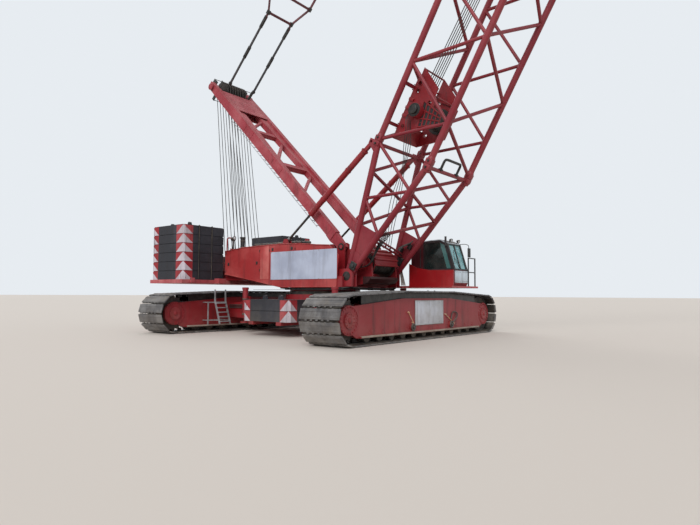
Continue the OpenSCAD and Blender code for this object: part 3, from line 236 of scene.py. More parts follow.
dull = value_of(weather, "MULTIPLY_ADD", dust, 0.4, dull)
dull = value_of(weather, "MULTIPLY_ADD", grit, 0.12, dull, clamp=True)
weather.links.new(dull, put["Roughness"])
rough = value_of(weather, "MULTIPLY_ADD", rust, 0.6, value_of(weather, "MULTIPLY", grit, 0.25))
weather.links.new(value_of(weather, "MULTIPLY_ADD", dust, 0.3, rough), put["Height"])


def finish(name, clean, faded, gloss=0.4, streaks=0.35, rusting=0.25, dusting=0.5, size=0.8, metal=0.0,
           grime=(0.025, 0.018, 0.016), bump=0.35, coat=0.0):
    """A weathered material: clean and faded colour, and how much grime, rust and dust lie on it."""
    made, tree, shader = new_material(name)
    preset(shader, Metallic=metal, Coat_Weight=coat)
    worn = add(tree, "Group", node_tree=weather)
    preset(worn, Clean=(*clean, 1), Faded=(*faded, 1), Grime=(*grime, 1), Fade_Size=size, Streaks=streaks,
           Rusting=rusting, Dusting=dusting, Gloss=gloss)
    relief = add(tree, "Bump")
    preset(relief, Strength=bump, Distance=0.01)
    tree.links.new(worn.outputs["Color"], shader.inputs["Base Color"])
    tree.links.new(worn.outputs["Roughness"], shader.inputs["Roughness"])
    tree.links.new(worn.outputs["Height"], relief.inputs["Height"])
    tree.links.new(relief.outputs[0], shader.inputs["Normal"])
    return made


def paint_node(material, *nodes):
    for node in nodes:
        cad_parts[node].data.materials.clear()
        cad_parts[node].data.materials.append(material)


def rounded(bm, edges, offset, segments=2):
    bmesh.ops.bevel(bm, geom=list(edges), offset=offset, affect="EDGES", segments=segments, profile=0.5,
                    material=-1)


def cube(bm, place, size):
    """A cube of the given size, put in its place by a matrix."""
    return bmesh.ops.create_cube(bm, size=1, matrix=place @ Matrix.Diagonal((*size, 1)))["verts"]


def box(bm, corner, far_corner, edge=0.0):
    """A block between two opposite corners, in any order, with all its edges rounded."""
    low, high = (Vector([pick(pair) for pair in zip(corner, far_corner)]) for pick in (min, max))
    made = cube(bm, Matrix.Translation((low + high) / 2), high - low)
    if edge:
        rounded(bm, {e for v in made for e in v.link_edges}, edge)


def bar(bm, a, b, radius, sides=16):
    """A round bar from a to b; returns its vertices."""
    a, b = Vector(a), Vector(b)
    turn = (b - a).to_track_quat("Z", "Y").to_matrix().to_4x4()
    return bmesh.ops.create_cone(bm, cap_ends=True, segments=sides, radius1=radius, radius2=radius,
                                 depth=(b - a).length, matrix=Matrix.Translation((a + b) / 2) @ turn)["verts"]


def piece(name, bm, body, material, slot, *replaced, smooth=35, within=None):
    """A finished piece: its mesh, put in its place by a matrix, its material and its body; the slot argument
    is not used.
    """
    if within:
        bmesh.ops.transform(bm, matrix=within, verts=bm.verts)
    bmesh.ops.recalc_face_normals(bm, faces=bm.faces)
    mesh = bpy.data.meshes.new(name)
    bm.to_mesh(mesh)
    bm.free()
    mesh.materials.append(material)
    mesh.shade_smooth()
    mesh.set_sharp_from_angle(angle=math.radians(smooth))
    made = new_object(name, mesh)
    if body:
        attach(made, body)
    if replaced:
        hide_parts(*replaced)
    return made


TRACK_X, AXLE_Y, WHEEL_R, PAD_T, TOP_Z, TOP_HALF, SHOES = 4.2, 4.4, 0.69, 0.07, 1.57, 1.6, 60
axle_z = PAD_T + WHEEL_R
rise, away = TOP_Z - axle_z, AXLE_Y - TOP_HALF
slope_len = math.sqrt(away ** 2 + rise ** 2 - WHEEL_R ** 2)
slope = math.atan2(rise, away) - math.asin(WHEEL_R / math.hypot(away, rise))
turn_len = WHEEL_R * (math.pi - slope)
loop_len = 2 * (AXLE_Y + turn_len + slope_len + TOP_HALF)
pitch = loop_len / SHOES


def loop_place(s):
    """Where the chain's loop is after a way of s along it: y, z and the shoe's turn."""
    s %= loop_len
    back = s > loop_len / 2
    s = loop_len - s if back else s
    if s < AXLE_Y:
        y, z, a = s, PAD_T, 0
    elif s < AXLE_Y + turn_len:
        a = (s - AXLE_Y) / WHEEL_R
        y, z = AXLE_Y + WHEEL_R * math.sin(a), axle_z - WHEEL_R * math.cos(a)
    elif s < AXLE_Y + turn_len + slope_len:
        a, t = math.pi - slope, s - AXLE_Y - turn_len
        y = AXLE_Y + WHEEL_R * math.sin(a) + t * math.cos(a)
        z = axle_z - WHEEL_R * math.cos(a) + t * math.sin(a)
    else:
        y, z, a = TOP_HALF - (s - AXLE_Y - turn_len - slope_len), TOP_Z, math.pi
    return (-y, z, -a) if back else (y, z, a)


shoe_steel = finish("shoe_steel", (0.100, 0.098, 0.104), (0.20, 0.195, 0.195), gloss=0.55, streaks=0.5,
                    rusting=0.3, dusting=0.5, size=2.2, metal=0.25, grime=(0.03, 0.026, 0.025), bump=0.8)
greasy = finish("greasy_steel", (0.02, 0.019, 0.018), (0.05, 0.045, 0.04), gloss=0.3, streaks=0.3,
                rusting=0.15, dusting=0.5, size=4, metal=0.3)
half = 0.425 * pitch
gap = pitch - 2 * half
shoe = bmesh.new()
box(shoe, (-0.75, -half, -0.059), (0.75, half, -0.014), 0.010)
for t in (-0.55, 0.55):
    box(shoe, (-0.735, (t - 0.16) * half, -0.067), (0.735, (t + 0.16) * half, -0.056), 0.005)
for x in (-0.22, 0.22):
    box(shoe, (x - 0.13, -half * 0.98, -0.02), (x + 0.13, half * 0.98, 0), 0.004)
horn = cube(shoe, Matrix.Translation((0, 0, 0.045)), (0.12, half, 0.13))
bmesh.ops.scale(shoe, vec=(0.72, 0.62, 1), verts=[v for v in horn if v.co.z > 0.05])
for k in range(5):
    x = 0.21 * k - 0.48
    box(shoe, (x - 0.04, half - 0.01, -0.048), (x + 0.04, half + 0.8 * gap, -0.020), 0.006)
    box(shoe, (x + 0.065, -half - 0.3 * gap, -0.050), (x + 0.135, 0.01 - half, -0.018), 0.006)
# A full-width near-black strip under each shoe stands for the chain's links and paints shade into the gaps
# between the shoes.
link = bmesh.new()
box(link, (-0.70, -0.488 * pitch, -0.0135), (0.70, 0.488 * pitch, -0.003), 0.004)


def chain_of(part, sign):
    """A copy of one part at every shoe of the chain on that side."""
    mesh = bpy.data.meshes.new("part")
    part.to_mesh(mesh)
    chain = bmesh.new()
    for i in range(SHOES):
        start = len(chain.verts)
        chain.from_mesh(mesh)
        chain.verts.ensure_lookup_table()
        y, z, a = loop_place((i + 0.5) * pitch)
        place = Matrix.Translation((sign * TRACK_X, y, z)) @ Matrix.Rotation(a, 4, "X")
        bmesh.ops.transform(chain, verts=chain.verts[start:], matrix=place)
    return chain


for end, sign in (("front", 1), ("back", -1)):
    piece("shoes_" + end, chain_of(shoe, sign), "carrier", shoe_steel, "track_steel", "track_" + end,
          smooth=30)
    piece("links_" + end, chain_of(link, sign), "carrier", greasy, "dark_steel", smooth=30)

# Track frames: a long welded steel box inside each chain, with round caps over the end axles, and the
# toothed driving wheels, plain idlers and rollers that they carry. The chain's upper run lies on slide rails.
FACE_X, BOSS_YS, BOSS_Z = 0.51, (-1.05, 1.6), 0.44
CORNERS = [(a, b) for a in (-1, 1) for b in (-1, 1)]


def bolt(bm, foot, axis, size, proud):
    """One hexagonal head that stands proud of its face."""
    foot = Vector(foot)
    bar(bm, foot, foot + proud * Vector(axis).normalized(), size, 6)


def bolts(bm, centre, axis, ring, count, size, proud, start=0.0):
    """Hexagonal heads on a ring about an axis."""
    centre, axis = Vector(centre), Vector(axis).normalized()
    out = axis.orthogonal().normalized()
    for i in range(count):
        spoke = Matrix.Rotation(start + math.tau * i / count, 3, axis) @ out
        bolt(bm, centre + ring * spoke, axis, size, proud)


def turned(bm, profile, centre, axis, steps=32):
    """Spins a profile of (distance along the axis, radius) points about the axis."""
    start, centre, axis = len(bm.verts), Vector(centre), Vector(axis).normalized()
    out = axis.orthogonal().normalized()
    line = [bm.verts.new(centre + a * axis + r * out) for a, r in profile]
    edges = [bm.edges.new(pair) for pair in zip(line, line[1:])]
    bmesh.ops.spin(bm, geom=line + edges, cent=centre, axis=axis, angle=math.tau, steps=steps, use_merge=True)
    bm.verts.ensure_lookup_table()
    bmesh.ops.remove_doubles(bm, verts=bm.verts[start:], dist=1e-5)


def pipe(bm, points, radius, sides=3):
    """A smooth pipe along a few points; it runs straight out of both ends."""
    curve = bpy.data.curves.new("pipe", "CURVE")
    curve.dimensions, curve.bevel_depth, curve.bevel_resolution = "3D", radius, sides
    curve.resolution_u, curve.use_fill_caps = 6, True
    line = curve.splines.new("NURBS")
    line.points.add(len(points) - 1)
    for place, point in zip(line.points, points):
        place.co = (*point, 1)
    line.order_u, line.use_endpoint_u = 3, True
    drawn = new_object("pipe", curve)
    made = bpy.data.meshes.new_from_object(drawn.evaluated_get(bpy.context.evaluated_depsgraph_get()))
    bpy.data.objects.remove(drawn)
    bm.from_mesh(made)


def plate(bm, corners, through, edge=0.0):
    """A flat plate: a face through the corners, drawn out by a vector, and the far rim rounded."""
    face = bm.faces.new([bm.verts.new(corner) for corner in corners])
    made = bmesh.ops.extrude_face_region(bm, geom=[face])["geom"]
    moved = [v for v in made if isinstance(v, bmesh.types.BMVert)]
    bmesh.ops.translate(bm, vec=through, verts=moved)
    if edge:
        rounded(bm, {e for v in moved for e in v.link_edges if e.other_vert(v) in moved}, edge)


def repaint(material, mask, clean, faded):
    """Gives the part of a finish that the mask covers other paint, under the same weathering."""
    tree = material.node_tree
    worn = next(n for n in tree.nodes if n.type == "GROUP" and n.node_tree == weather)
    for socket, paint in (("Clean", clean), ("Faded", faded)):
        place = worn.inputs[socket]
        under = place.links[0].from_socket if place.is_linked else tuple(place.default_value)
        tree.links.new(mix_colour(tree, mask, under, (*paint, 1)), place)


RED_PAINT = {"clean": (0.25, 0.007, 0.012), "faded": (0.30, 0.020, 0.028), "gloss": 0.38, "streaks": 0.55,
             "rusting": 0.3, "dusting": 0.15, "size": 0.7}
BARE_STEEL = (0.07, 0.06, 0.055), (0.13, 0.11, 0.09)
main_red = finish("main_red", **RED_PAINT)
wheel_steel = finish("wheel_steel", *BARE_STEEL, gloss=0.45, streaks=0.4, rusting=0.6, dusting=0.8, size=3,
                     metal=0.5)
paint_node(main_red, "track_frame_front", "track_frame_back")
paint_node(wheel_steel, "track_rollers")
hub_red = finish("painted_hub", *BARE_STEEL, gloss=0.42, streaks=0.45, rusting=0.5, dusting=0.4, size=2)
tree = hub_red.node_tree
at = parts_of(tree, point_of(tree))
off = value_of(tree, "ABSOLUTE", value_of(tree, "SUBTRACT", value_of(tree, "ABSOLUTE", at["X"]), TRACK_X))
repaint(hub_red, value_of(tree, "GREATER_THAN", off, FACE_X - 0.01), (0.27, 0.010, 0.016), (0.36, 0.06, 0.07))
paint_node(hub_red, "drive_sprockets", "idler_wheels")

bm = bmesh.new()
for sign, side in CORNERS:
    face = sign * TRACK_X + side * (FACE_X + 0.0005)
    out = Vector((side, 0, 0))
    for y in (-AXLE_Y, AXLE_Y):
        hub = Vector((face, y, axle_z))
        bolts(bm, hub, out, 0.375, 20, 0.02, 0.022)
        bolts(bm, hub + 0.0403 * out, out, 0.19, 12, 0.016, 0.02)
        turned(bm, ((0, 0.435), (0.012, 0.43), (0.014, 0.405), (0, 0.4)), hub, out, 48)
        turned(bm, ((0.04, 0.0), (0.075, 0.0), (0.07, 0.06), (0.055, 0.085), (0.04, 0.09)), hub, out, 24)
    for y in BOSS_YS:
        bolts(bm, (face, y, BOSS_Z), out, 0.085, 6, 0.012, 0.014)
        turned(bm, ((0, 0.06), (0.018, 0.06), (0.022, 0.048), (0.022, 0.0)), (face, y, BOSS_Z), out, 20)
    for i in range(11):
        y = -3.39 + i * 0.678
        bolts(bm, (face, y, 0.36), out, 0.07, 4, 0.013, 0.016, math.pi / 4)
piece("frame_bolts", bm, "carrier", main_red, "crane_red", smooth=40)
bm = bmesh.new()
RAIL_END, RAIL_LOW, RAIL_DROP = 3.75, 1.38, 0.0821
for sign, side in CORNERS:
    x = sign * TRACK_X + side * 0.425
    drop = (RAIL_END - TOP_HALF) * math.tan(slope) + 0.012
    low = RAIL_LOW - (RAIL_END - TOP_HALF) * RAIL_DROP
    rim = ((-TOP_HALF, TOP_Z - 0.006), (TOP_HALF, TOP_Z - 0.006), (RAIL_END, TOP_Z - drop), (RAIL_END, low),
           (TOP_HALF, RAIL_LOW), (-TOP_HALF, RAIL_LOW), (-RAIL_END, low), (-RAIL_END, TOP_Z - drop))
    plate(bm, [(x - 0.02, y, z) for y, z in rim], (0.04, 0, 0))
piece("slide_rails", bm, "carrier", greasy, "dark_steel")

# Signs and lines on the near track frame: a blank sheet-metal sign in a thin frame, riveted on, black
# lifting rings over the round bosses with their painted rods, and clay that lies along the lower ledge.
SIGN_X, SIGN_Y, SIGN_Z = TRACK_X + FACE_X, (-0.86, 1.03), (0.50, 1.30)
sign_white = finish("sign_white", (0.58, 0.60, 0.66), (0.46, 0.46, 0.48), gloss=0.35, streaks=0.5,
                    rusting=0.1, dusting=0.35, size=1.5, grime=(0.12, 0.09, 0.08), bump=0.15)
zinc = finish("zinc_plate", (0.50, 0.51, 0.52), (0.38, 0.38, 0.38), gloss=0.35, streaks=0.3, rusting=0.12,
              dusting=0.3, size=2.5, metal=0.75, bump=0.2)
black = finish("black_rubber", (0.012, 0.012, 0.013), (0.035, 0.034, 0.033), gloss=0.5, streaks=0.2,
               rusting=0.0, dusting=0.5, size=3, bump=0.2)


def mixed(a, b, t):
    return a + (b - a) * t


bm = bmesh.new()
box(bm, (SIGN_X + 0.012, SIGN_Y[0], SIGN_Z[0]), (SIGN_X + 0.016, SIGN_Y[1], SIGN_Z[1]), 0.001)
piece("frame_sign", bm, "carrier", sign_white, "galvanised")
bm = bmesh.new()
for z in SIGN_Z:
    box(bm, (SIGN_X + 0.001, SIGN_Y[0] - 0.02, z - 0.015), (SIGN_X + 0.024, SIGN_Y[1] + 0.02, z + 0.015),
        0.004)
for y in SIGN_Y:
    box(bm, (SIGN_X + 0.001, y - 0.015, SIGN_Z[0]), (SIGN_X + 0.024, y + 0.015, SIGN_Z[1]), 0.004)
for y in (-0.6, 0.0, 0.75):
    for z in (SIGN_Z[0] + 0.06, SIGN_Z[1] - 0.06):
        bolt(bm, (SIGN_X + 0.016, y, z), (1, 0, 0), 0.014, 0.01)
piece("sign_frame", bm, "carrier", zinc, "galvanised")
bm = bmesh.new()
ring = [(0.028 * math.cos(a), 0.10 + 0.028 * math.sin(a)) for a in [math.tau * k / 10 for k in range(10)]]
for y in BOSS_YS:
    turned(bm, ring + ring[:1], (SIGN_X + 0.062, y, BOSS_Z), (1, 0, 0), 28)
    turned(bm, ((0, 0.05), (0.05, 0.05), (0.06, 0.04), (0.06, 0)), (SIGN_X + 0.04, y, BOSS_Z), (1, 0, 0), 20)
pipe(bm, [(SIGN_X + 0.05, 1.7, 0.5), (SIGN_X + 0.06, 1.95, 0.62), (SIGN_X + 0.05, 2.1, 0.82),
          (SIGN_X + 0.03, 1.9, 0.9), (SIGN_X + 0.02, 1.66, 0.86), (SIGN_X + 0.03, 1.62, 0.6)], 0.02)
piece("frame_rings", bm, "carrier", black, "dark_steel")
rod_paint = finish("rod_paint", (0.62, 0.30, 0.12), (0.60, 0.50, 0.40), gloss=0.5, streaks=0.4, rusting=0.3,
                   dusting=0.4, size=4)
bm = bmesh.new()
for (y0, z0), (y1, z1) in (((-1.32, 0.96), (-1.02, 0.56)), ((1.13, 0.84), (1.82, 0.45))):
    bar(bm, (SIGN_X + 0.03, y0, z0), (SIGN_X + 0.05, y1, z1), 0.014, 8)
    for t in (0.08, 0.92):
        y, z = mixed(y0, y1, t), mixed(z0, z1, t)
        box(bm, (SIGN_X + 0.001, y - 0.03, z - 0.02), (SIGN_X + 0.06, y + 0.03, z + 0.02), 0.006)
piece("frame_rods", bm, "carrier", rod_paint, "galvanised")
LEDGE_END = 3.88
clay = finish("dusty_ledge", (0.30, 0.22, 0.18), (0.46, 0.40, 0.34), gloss=0.75, streaks=0.4, rusting=0.3,
              dusting=0.8, size=2, grime=(0.12, 0.07, 0.06), bump=0.7)
bm = bmesh.new()
for sign, side in CORNERS:
    inner, outer = (sign * TRACK_X + side * (FACE_X + reach) for reach in (-0.004, 0.054))
    box(bm, (inner, -LEDGE_END, 0.2795), (outer, LEDGE_END, 0.287), 0.003)
    box(bm, (outer, -LEDGE_END, 0.234), (outer + side * 0.004, LEDGE_END, 0.285), 0.001)
piece("ledge_dust", bm, "carrier", clay, "galvanised")

# Car body: a welded box with four sloping beams out to the track frames. The slewing ring, a ring of steel
# with its bolts, sits on its round neck; jack posts with ground plates stand by the beams.
grease = finish("ring_grease", (0.03, 0.028, 0.026), (0.09, 0.07, 0.05), gloss=0.3, streaks=0.6, rusting=0.4,
                dusting=0.5, size=3, metal=0.4)
paint_node(main_red, "car_body", "jack_legs")
paint_node(grease, "slewing_ring")
JACK_X, JACK_Y, BEAM_FACE_Y = 2.3, 2.15, 1.761
bm = bmesh.new()
bolts(bm, (0, 0, 1.45), (0, 0, 1), 1.53, 60, 0.016, 0.03)
for sx, sy in CORNERS:
    foot = Vector((sx * JACK_X, sy * JACK_Y, 0.43))
    turned(bm, ((1.33, 0.0), (1.33, 0.10), (1.334, 0.10), (1.336, 0.09), (1.336, 0)), foot, (0, 0, 1), 24)
    bolts(bm, foot, (0, 0, 1), 0.15, 8, 0.014, 0.018)
    for z in (0.72, 1.3):
        turned(bm, ((-0.03, 0.112), (-0.02, 0.125), (0.02, 0.125), (0.03, 0.112)),
               (foot.x, foot.y, z), (0, 0, 1), 20)
    for x in (1.95, 2.9):
        bolts(bm, (sx * x, sy * BEAM_FACE_Y, 0.9), (0, sy, 0), 0.12, 6, 0.016, 0.018)
piece("carrier_bolts", bm, "carrier", wheel_steel, "track_steel")
bm = bmesh.new()
for sy in (-1, 1):
    for i in range(3):
        z = 1.0 + 0.06 * i
        pipe(bm, [(-1.76, sy * (1.83 - 0.03 * i), z), (-2.0, sy * 1.83, z), (-2.6, sy * 1.80, z - 0.04),
                  (-3.2, sy * 1.79, z - 0.06), (-3.68, sy * 1.79, z - 0.06)], 0.016, 2)
piece("drive_lines", bm, "carrier", black, "dark_steel")

# Central ballast and counterweights: cast slabs in stacks, dark grey, with a red band round each outer
# corner and one white triangle on it for every slab. Dust lies on top and rust runs down from the lugs.
chevrons, given, put = new_group(
    "corner_chevrons",
    (("Middle", "Float", 0.0), ("Half Length", "Float", 1.0), ("Outer", "Float", 3.0), ("Base", "Float", 0.5),
     ("Slab", "Float", 0.38), ("Width", "Float", 0.4), ("Slabs", "Float", 6.0)),
    (("Band", "Float"), ("Triangle", "Float")))
at = parts_of(chevrons, point_of(chevrons))
along = value_of(chevrons, "ABSOLUTE", value_of(chevrons, "SUBTRACT", at["X"], given["Middle"]))
along = value_of(chevrons, "SUBTRACT", along, given["Half Length"])
across = value_of(chevrons, "SUBTRACT", value_of(chevrons, "ABSOLUTE", at["Y"]), given["Outer"])
round_corner = value_of(chevrons, "ABSOLUTE", value_of(chevrons, "SUBTRACT", along, across))
over_base = value_of(chevrons, "SUBTRACT", at["Z"], given["Base"])
level_in = value_of(chevrons, "DIVIDE", over_base, given["Slab"])
taper = value_of(chevrons, "SUBTRACT", 1.0, value_of(chevrons, "FRACT", level_in))
on_slab = value_of(chevrons, "LESS_THAN", level_in, given["Slabs"])
reach = value_of(chevrons, "MULTIPLY", given["Width"], taper)
for output, limit in (("Band", given["Width"]), ("Triangle", reach)):
    inside = value_of(chevrons, "LESS_THAN", round_corner, limit)
    chevrons.links.new(value_of(chevrons, "MULTIPLY", inside, on_slab), put[output])


def slab_finish(name, **places):
    made = finish(name, (0.017, 0.018, 0.025), (0.034, 0.035, 0.045), gloss=0.6, streaks=0.6, rusting=0.3,
                  dusting=0.3, size=0.9, bump=0.6)
    tree = made.node_tree
    marks = add(tree, "Group", node_tree=chevrons)
    preset(marks, **places)
    scuffs = spread_of(tree, noise_of(tree, point_of(tree), 9, 8, 0.7), 0.62, 0.66)
    kept = value_of(tree, "SUBTRACT", 1.0, scuffs)
    for mark, clean, faded in (("Band", (0.33, 0.016, 0.024), (0.42, 0.06, 0.07)),
                               ("Triangle", (0.62, 0.56, 0.62), (0.50, 0.45, 0.49))):
        repaint(made, value_of(tree, "MULTIPLY", marks.outputs[mark], kept), clean, faded)
    return made


paint_node(slab_finish("ballast_slab", Middle=0.0, Half_Length=1.175, Outer=3.26, Base=0.537, Slab=0.387,
                       Width=0.42, Slabs=1.96), "central_ballast")
paint_node(slab_finish("counterweight_slab", Middle=-5.28, Half_Length=1.08, Outer=3.75, Base=2.076,
                       Slab=0.367, Width=0.46, Slabs=5.96), "counterweight_right", "counterweight_left")
eye = ((-0.05, 0.03), (-0.03, 0.045), (0.03, 0.045), (0.05, 0.03), (-0.05, 0.03))
for name, body, xs, y, z in (("ballast_eyes", "carrier", (-0.4, 0.4), 2.86, 1.402),
                             ("counterweight_eyes", "superstructure", (-5.82, -4.63), 3.15, 4.36)):
    bm = bmesh.new()
    for x in xs:
        for sy in (-1, 1):
            turned(bm, eye, (x, sy * y, z), (0, 1, 0), 16)
    piece(name, bm, body, wheel_steel, "track_steel")

# Ladders: welded square tube and grating treads, hot-dip galvanised, bolted to each track frame. Raised
# grip strips run across every tread.
silver = finish("galvanised", (0.50, 0.52, 0.54), (0.36, 0.37, 0.38), gloss=0.4, streaks=0.35, rusting=0.12,
                dusting=0.35, size=4, metal=0.6, bump=0.2)
paint_node(silver, "access_steps")
LADDER_X, LADDER_Y, TREADS, GRIPS = 3.69, 2.53, 5, 5
bm = bmesh.new()
for side in (-1, 1):
    for i in range(TREADS):
        t = (i + 0.5) / TREADS
        x, z = 0.6 - 0.31 * t - LADDER_X, 0.33 + 0.89 * t
        for k in range(GRIPS):
            y = 0.105 * (k - 2) - side * LADDER_Y
            box(bm, (side * (x - 0.03), y - 0.012, z + 0.0155), (side * (x + 0.1), y + 0.012, z + 0.022),
                0.003)
piece("tread_grips", bm, "carrier", silver, "galvanised")

# Platform: the welded base of the superstructure, with the nose that carries the luffing winch, the lugs of
# the boom's pivots and the two posts of the mast. Bolted covers close the pivots, and the nose is painted
# near black.
BOOM_PIVOT, MAST_PIVOT = Vector((2.294, 0, 2.161)), Vector((1.75, 0, 3.25))
CHORD_Y, LEG_Y = 1.383, 1.0
paint_node(main_red, "luffing_winch_frame", "hoist_winch_frame")
NOSE_X = 2.56
base_red = finish("dark_nose_red", **RED_PAINT)
tree = base_red.node_tree
at = parts_of(tree, point_of(tree))
# The nose beyond NOSE_X is painted near black.
repaint(base_red, value_of(tree, "GREATER_THAN", at["X"], NOSE_X), (0.035, 0.010, 0.011), (0.07, 0.03, 0.03))
paint_node(base_red, "platform_frame")
bm = bmesh.new()
for sy in (-1, 1):
    for pivot, middle, reach, r in ((BOOM_PIVOT, CHORD_Y, 0.131, 0.16), (MAST_PIVOT, LEG_Y, 0.146, 0.13)):
        for side in (-1, 1):
            face = pivot + Vector((0, sy * middle + side * reach, 0))
            turned(bm, ((0, r), (0.018, r), (0.022, r - 0.02), (0.022, 0)), face, (0, side, 0), 24)
            bolts(bm, face + Vector((0, 0.022 * side, 0)), (0, side, 0), r - 0.04, 6, 0.014, 0.016)
piece("pivot_covers", bm, "superstructure", greasy, "dark_steel")

# Side panels: folded sheet doors along the machine, faded red, with one brighter renewed strip. A blank white
# banner, painted bluish for the cast of shade, is stretched over the right side; paddle latches and hinges
# hold the doors.
door_red = finish("panel_red", (0.36, 0.024, 0.026), (0.50, 0.085, 0.08), gloss=0.42, streaks=0.45,
                  rusting=0.12, dusting=0.35, size=0.5, bump=0.2)
strip_red = finish("renewed_red", (0.47, 0.05, 0.05), (0.60, 0.16, 0.14), gloss=0.35, streaks=0.3,
                   rusting=0.08, dusting=0.3, size=0.9, bump=0.2)
# The banner's white is painted bluish: the cool cast of shade, painted in.
banner_white_shade_tint = finish("banner_white_shade_tint", (0.52, 0.57, 0.70), (0.40, 0.44, 0.56), gloss=0.5, streaks=0.35,
                      rusting=0.0, dusting=0.25, size=0.7, grime=(0.16, 0.15, 0.17), bump=0.1)
paint_node(door_red, "side_panels")
SIDE_Y = 1.67
bm = bmesh.new()
for sy in (-1, 1):
    box(bm, (-2.0, sy * SIDE_Y, 2.1), (-1.5, sy * (SIDE_Y + 0.004), 3.42), 0.001)
piece("renewed_strip", bm, "superstructure", strip_red, "crane_red")
BANNER_X, BANNER_Z, BANNER_LONG, BANNER_HIGH = 0.3065, 2.605, 3.365, 1.076
bm = bmesh.new()
hung = (Matrix.Translation((BANNER_X, -SIDE_Y - 0.012, BANNER_Z)) @ Matrix.Rotation(math.pi / 2, 4, "X")
        @ Matrix.Diagonal((BANNER_LONG, BANNER_HIGH, 1, 1)))
cloth = bmesh.ops.create_grid(bm, x_segments=60, y_segments=24, size=0.5, matrix=hung)["verts"]
for vert in cloth:
    x, z = vert.co.x, vert.co.z
    along, up = (x - BANNER_X) / BANNER_LONG, (z - BANNER_Z) / BANNER_HIGH
    slack = math.cos(along * math.pi) * math.cos(up * math.pi)
    vert.co.y -= 0.004 + slack * (0.006 * math.sin(7 * x + 2 * z) + 0.004 * math.sin(13 * z - 3 * x))
bmesh.ops.solidify(bm, geom=bm.faces[:], thickness=0.003)
piece("side_banner", bm, "superstructure", banner_white_shade_tint, "galvanised", smooth=60)
bm = bmesh.new()
for x in (-1.36, -0.5, 0.31, 1.13, 1.97):
    for z in (2.083, 3.127):
        turned(bm, ((0, 0.022), (0.006, 0.02), (0.007, 0.008), (0.007, 0)), (x, -SIDE_Y - 0.02, z),
               (0, -1, 0), 16)
piece("banner_eyelets", bm, "superstructure", zinc, "galvanised")
bm = bmesh.new()
for sy in (-1, 1):
    face = sy * SIDE_Y
    banner_from = -1.5 if sy < 0 else math.inf
    for x in (-3.95, -2.2, -1.30, -0.25):
        z = 3.25 if x > banner_from else 2.75
        box(bm, (x - 0.05, face, z - 0.06), (x + 0.05, face + sy * 0.012, z + 0.06), 0.006)
        box(bm, (x - 0.02, face, z - 0.045), (x + 0.02, face + sy * 0.03, z + 0.035), 0.008)
    for x in (-2.03, -1.47, -0.08, -4.1):
        for z in (2.45, 3.22):
            if x < banner_from or z > 3:
                bar(bm, (x, face + sy * 0.012, z - 0.05), (x, face + sy * 0.012, z + 0.05), 0.012, 10)
    for x in (-3.3, -2.6, -0.9, 0.6):
        bolt(bm, (x, face, 3.33 if x < -2 else 3.38), (0, sy, 0), 0.013, 0.012)
piece("door_latches", bm, "superstructure", black, "dark_steel")
bm = bmesh.new()
for sy in (-1, 1):
    face = sy * (SIDE_Y + 0.014)
    for rim in (((-4.17, 3.305), (-2.93, 3.415), (-0.89, 3.445), (0.17, 3.415), (1.0, 3.325), (1.6, 3.285)),
                ((-4.17, 2.335), (-2.96, 2.145), (-0.83, 1.775), (1.95, 1.775))):
        for (x0, z0), (x1, z1) in zip(rim, rim[1:]):
            bar(bm, (x0, face, z0), (x1, face, z1), 0.016, 8)
piece("panel_edges", bm, "superstructure", door_red, "crane_red")

# Engine house: sheet steel roof and walls over a plain engine, with a fan under ring guards in the roof.
# Flat strips are welded on top to step on, and two bent tubes are the handholds.
paint_node(main_red, "engine_house")
paint_node(greasy, "engine_block")
FAN, BLADES, ROOF_Z = Vector((-2.6, 0, 3.30)), 7, 3.42


def band(half, inner, outer):
    """The profile of a flat ring, for turned()."""
    return (-half, inner), (-half, outer), (half, outer), (half, inner), (-half, inner)


bm = bmesh.new()
for i in range(BLADES):
    place = (Matrix.Translation(FAN) @ Matrix.Rotation(math.tau * i / BLADES, 4, "Z")
             @ Matrix.Translation((0.24, 0, 0)) @ Matrix.Rotation(0.55, 4, "X"))
    blade = cube(bm, place, (0.30, 0.13, 0.012))
    rounded(bm, {e for v in blade for e in v.link_edges}, 0.004, segments=1)
turned(bm, ((-0.08, 0.0), (-0.08, 0.09), (0.05, 0.09), (0.07, 0.06), (0.07, 0.0)), FAN, (0, 0, 1), 24)
for ring in (0.12, 0.2, 0.28, 0.36):
    turned(bm, band(0.004, ring - 0.004, ring + 0.004), FAN + Vector((0, 0, 0.175)), (0, 0, 1), 48)
piece("roof_fan", bm, "superstructure", black, "dark_steel")
bm = bmesh.new()
for x0, x1, base in ((-4.0, -3.2, 3.40), (-1.9, -0.35, ROOF_Z + 0.0005)):
    for i in range(9):
        y = -0.62 + i * 0.24
        box(bm, (x0, y - 0.015, base), (x1, y + 0.015, ROOF_Z + 0.012), 0.004)
for x, base in ((-4.05, 3.36), (-2.05, ROOF_Z + 0.0005), (-0.28, ROOF_Z + 0.0005)):
    box(bm, (x - 0.02, -1.5, base), (x + 0.02, 1.5, ROOF_Z + 0.014), 0.005)
for y in (-0.8, 0.9):
    pipe(bm, [(-1.7, y, 3.43), (-1.7, y, 3.52), (-1.55, y, 3.53), (-1.0, y, 3.53), (-0.85, y, 3.52),
              (-0.85, y, 3.43)], 0.014, 2)
piece("roof_strips", bm, "superstructure", main_red, "crane_red")

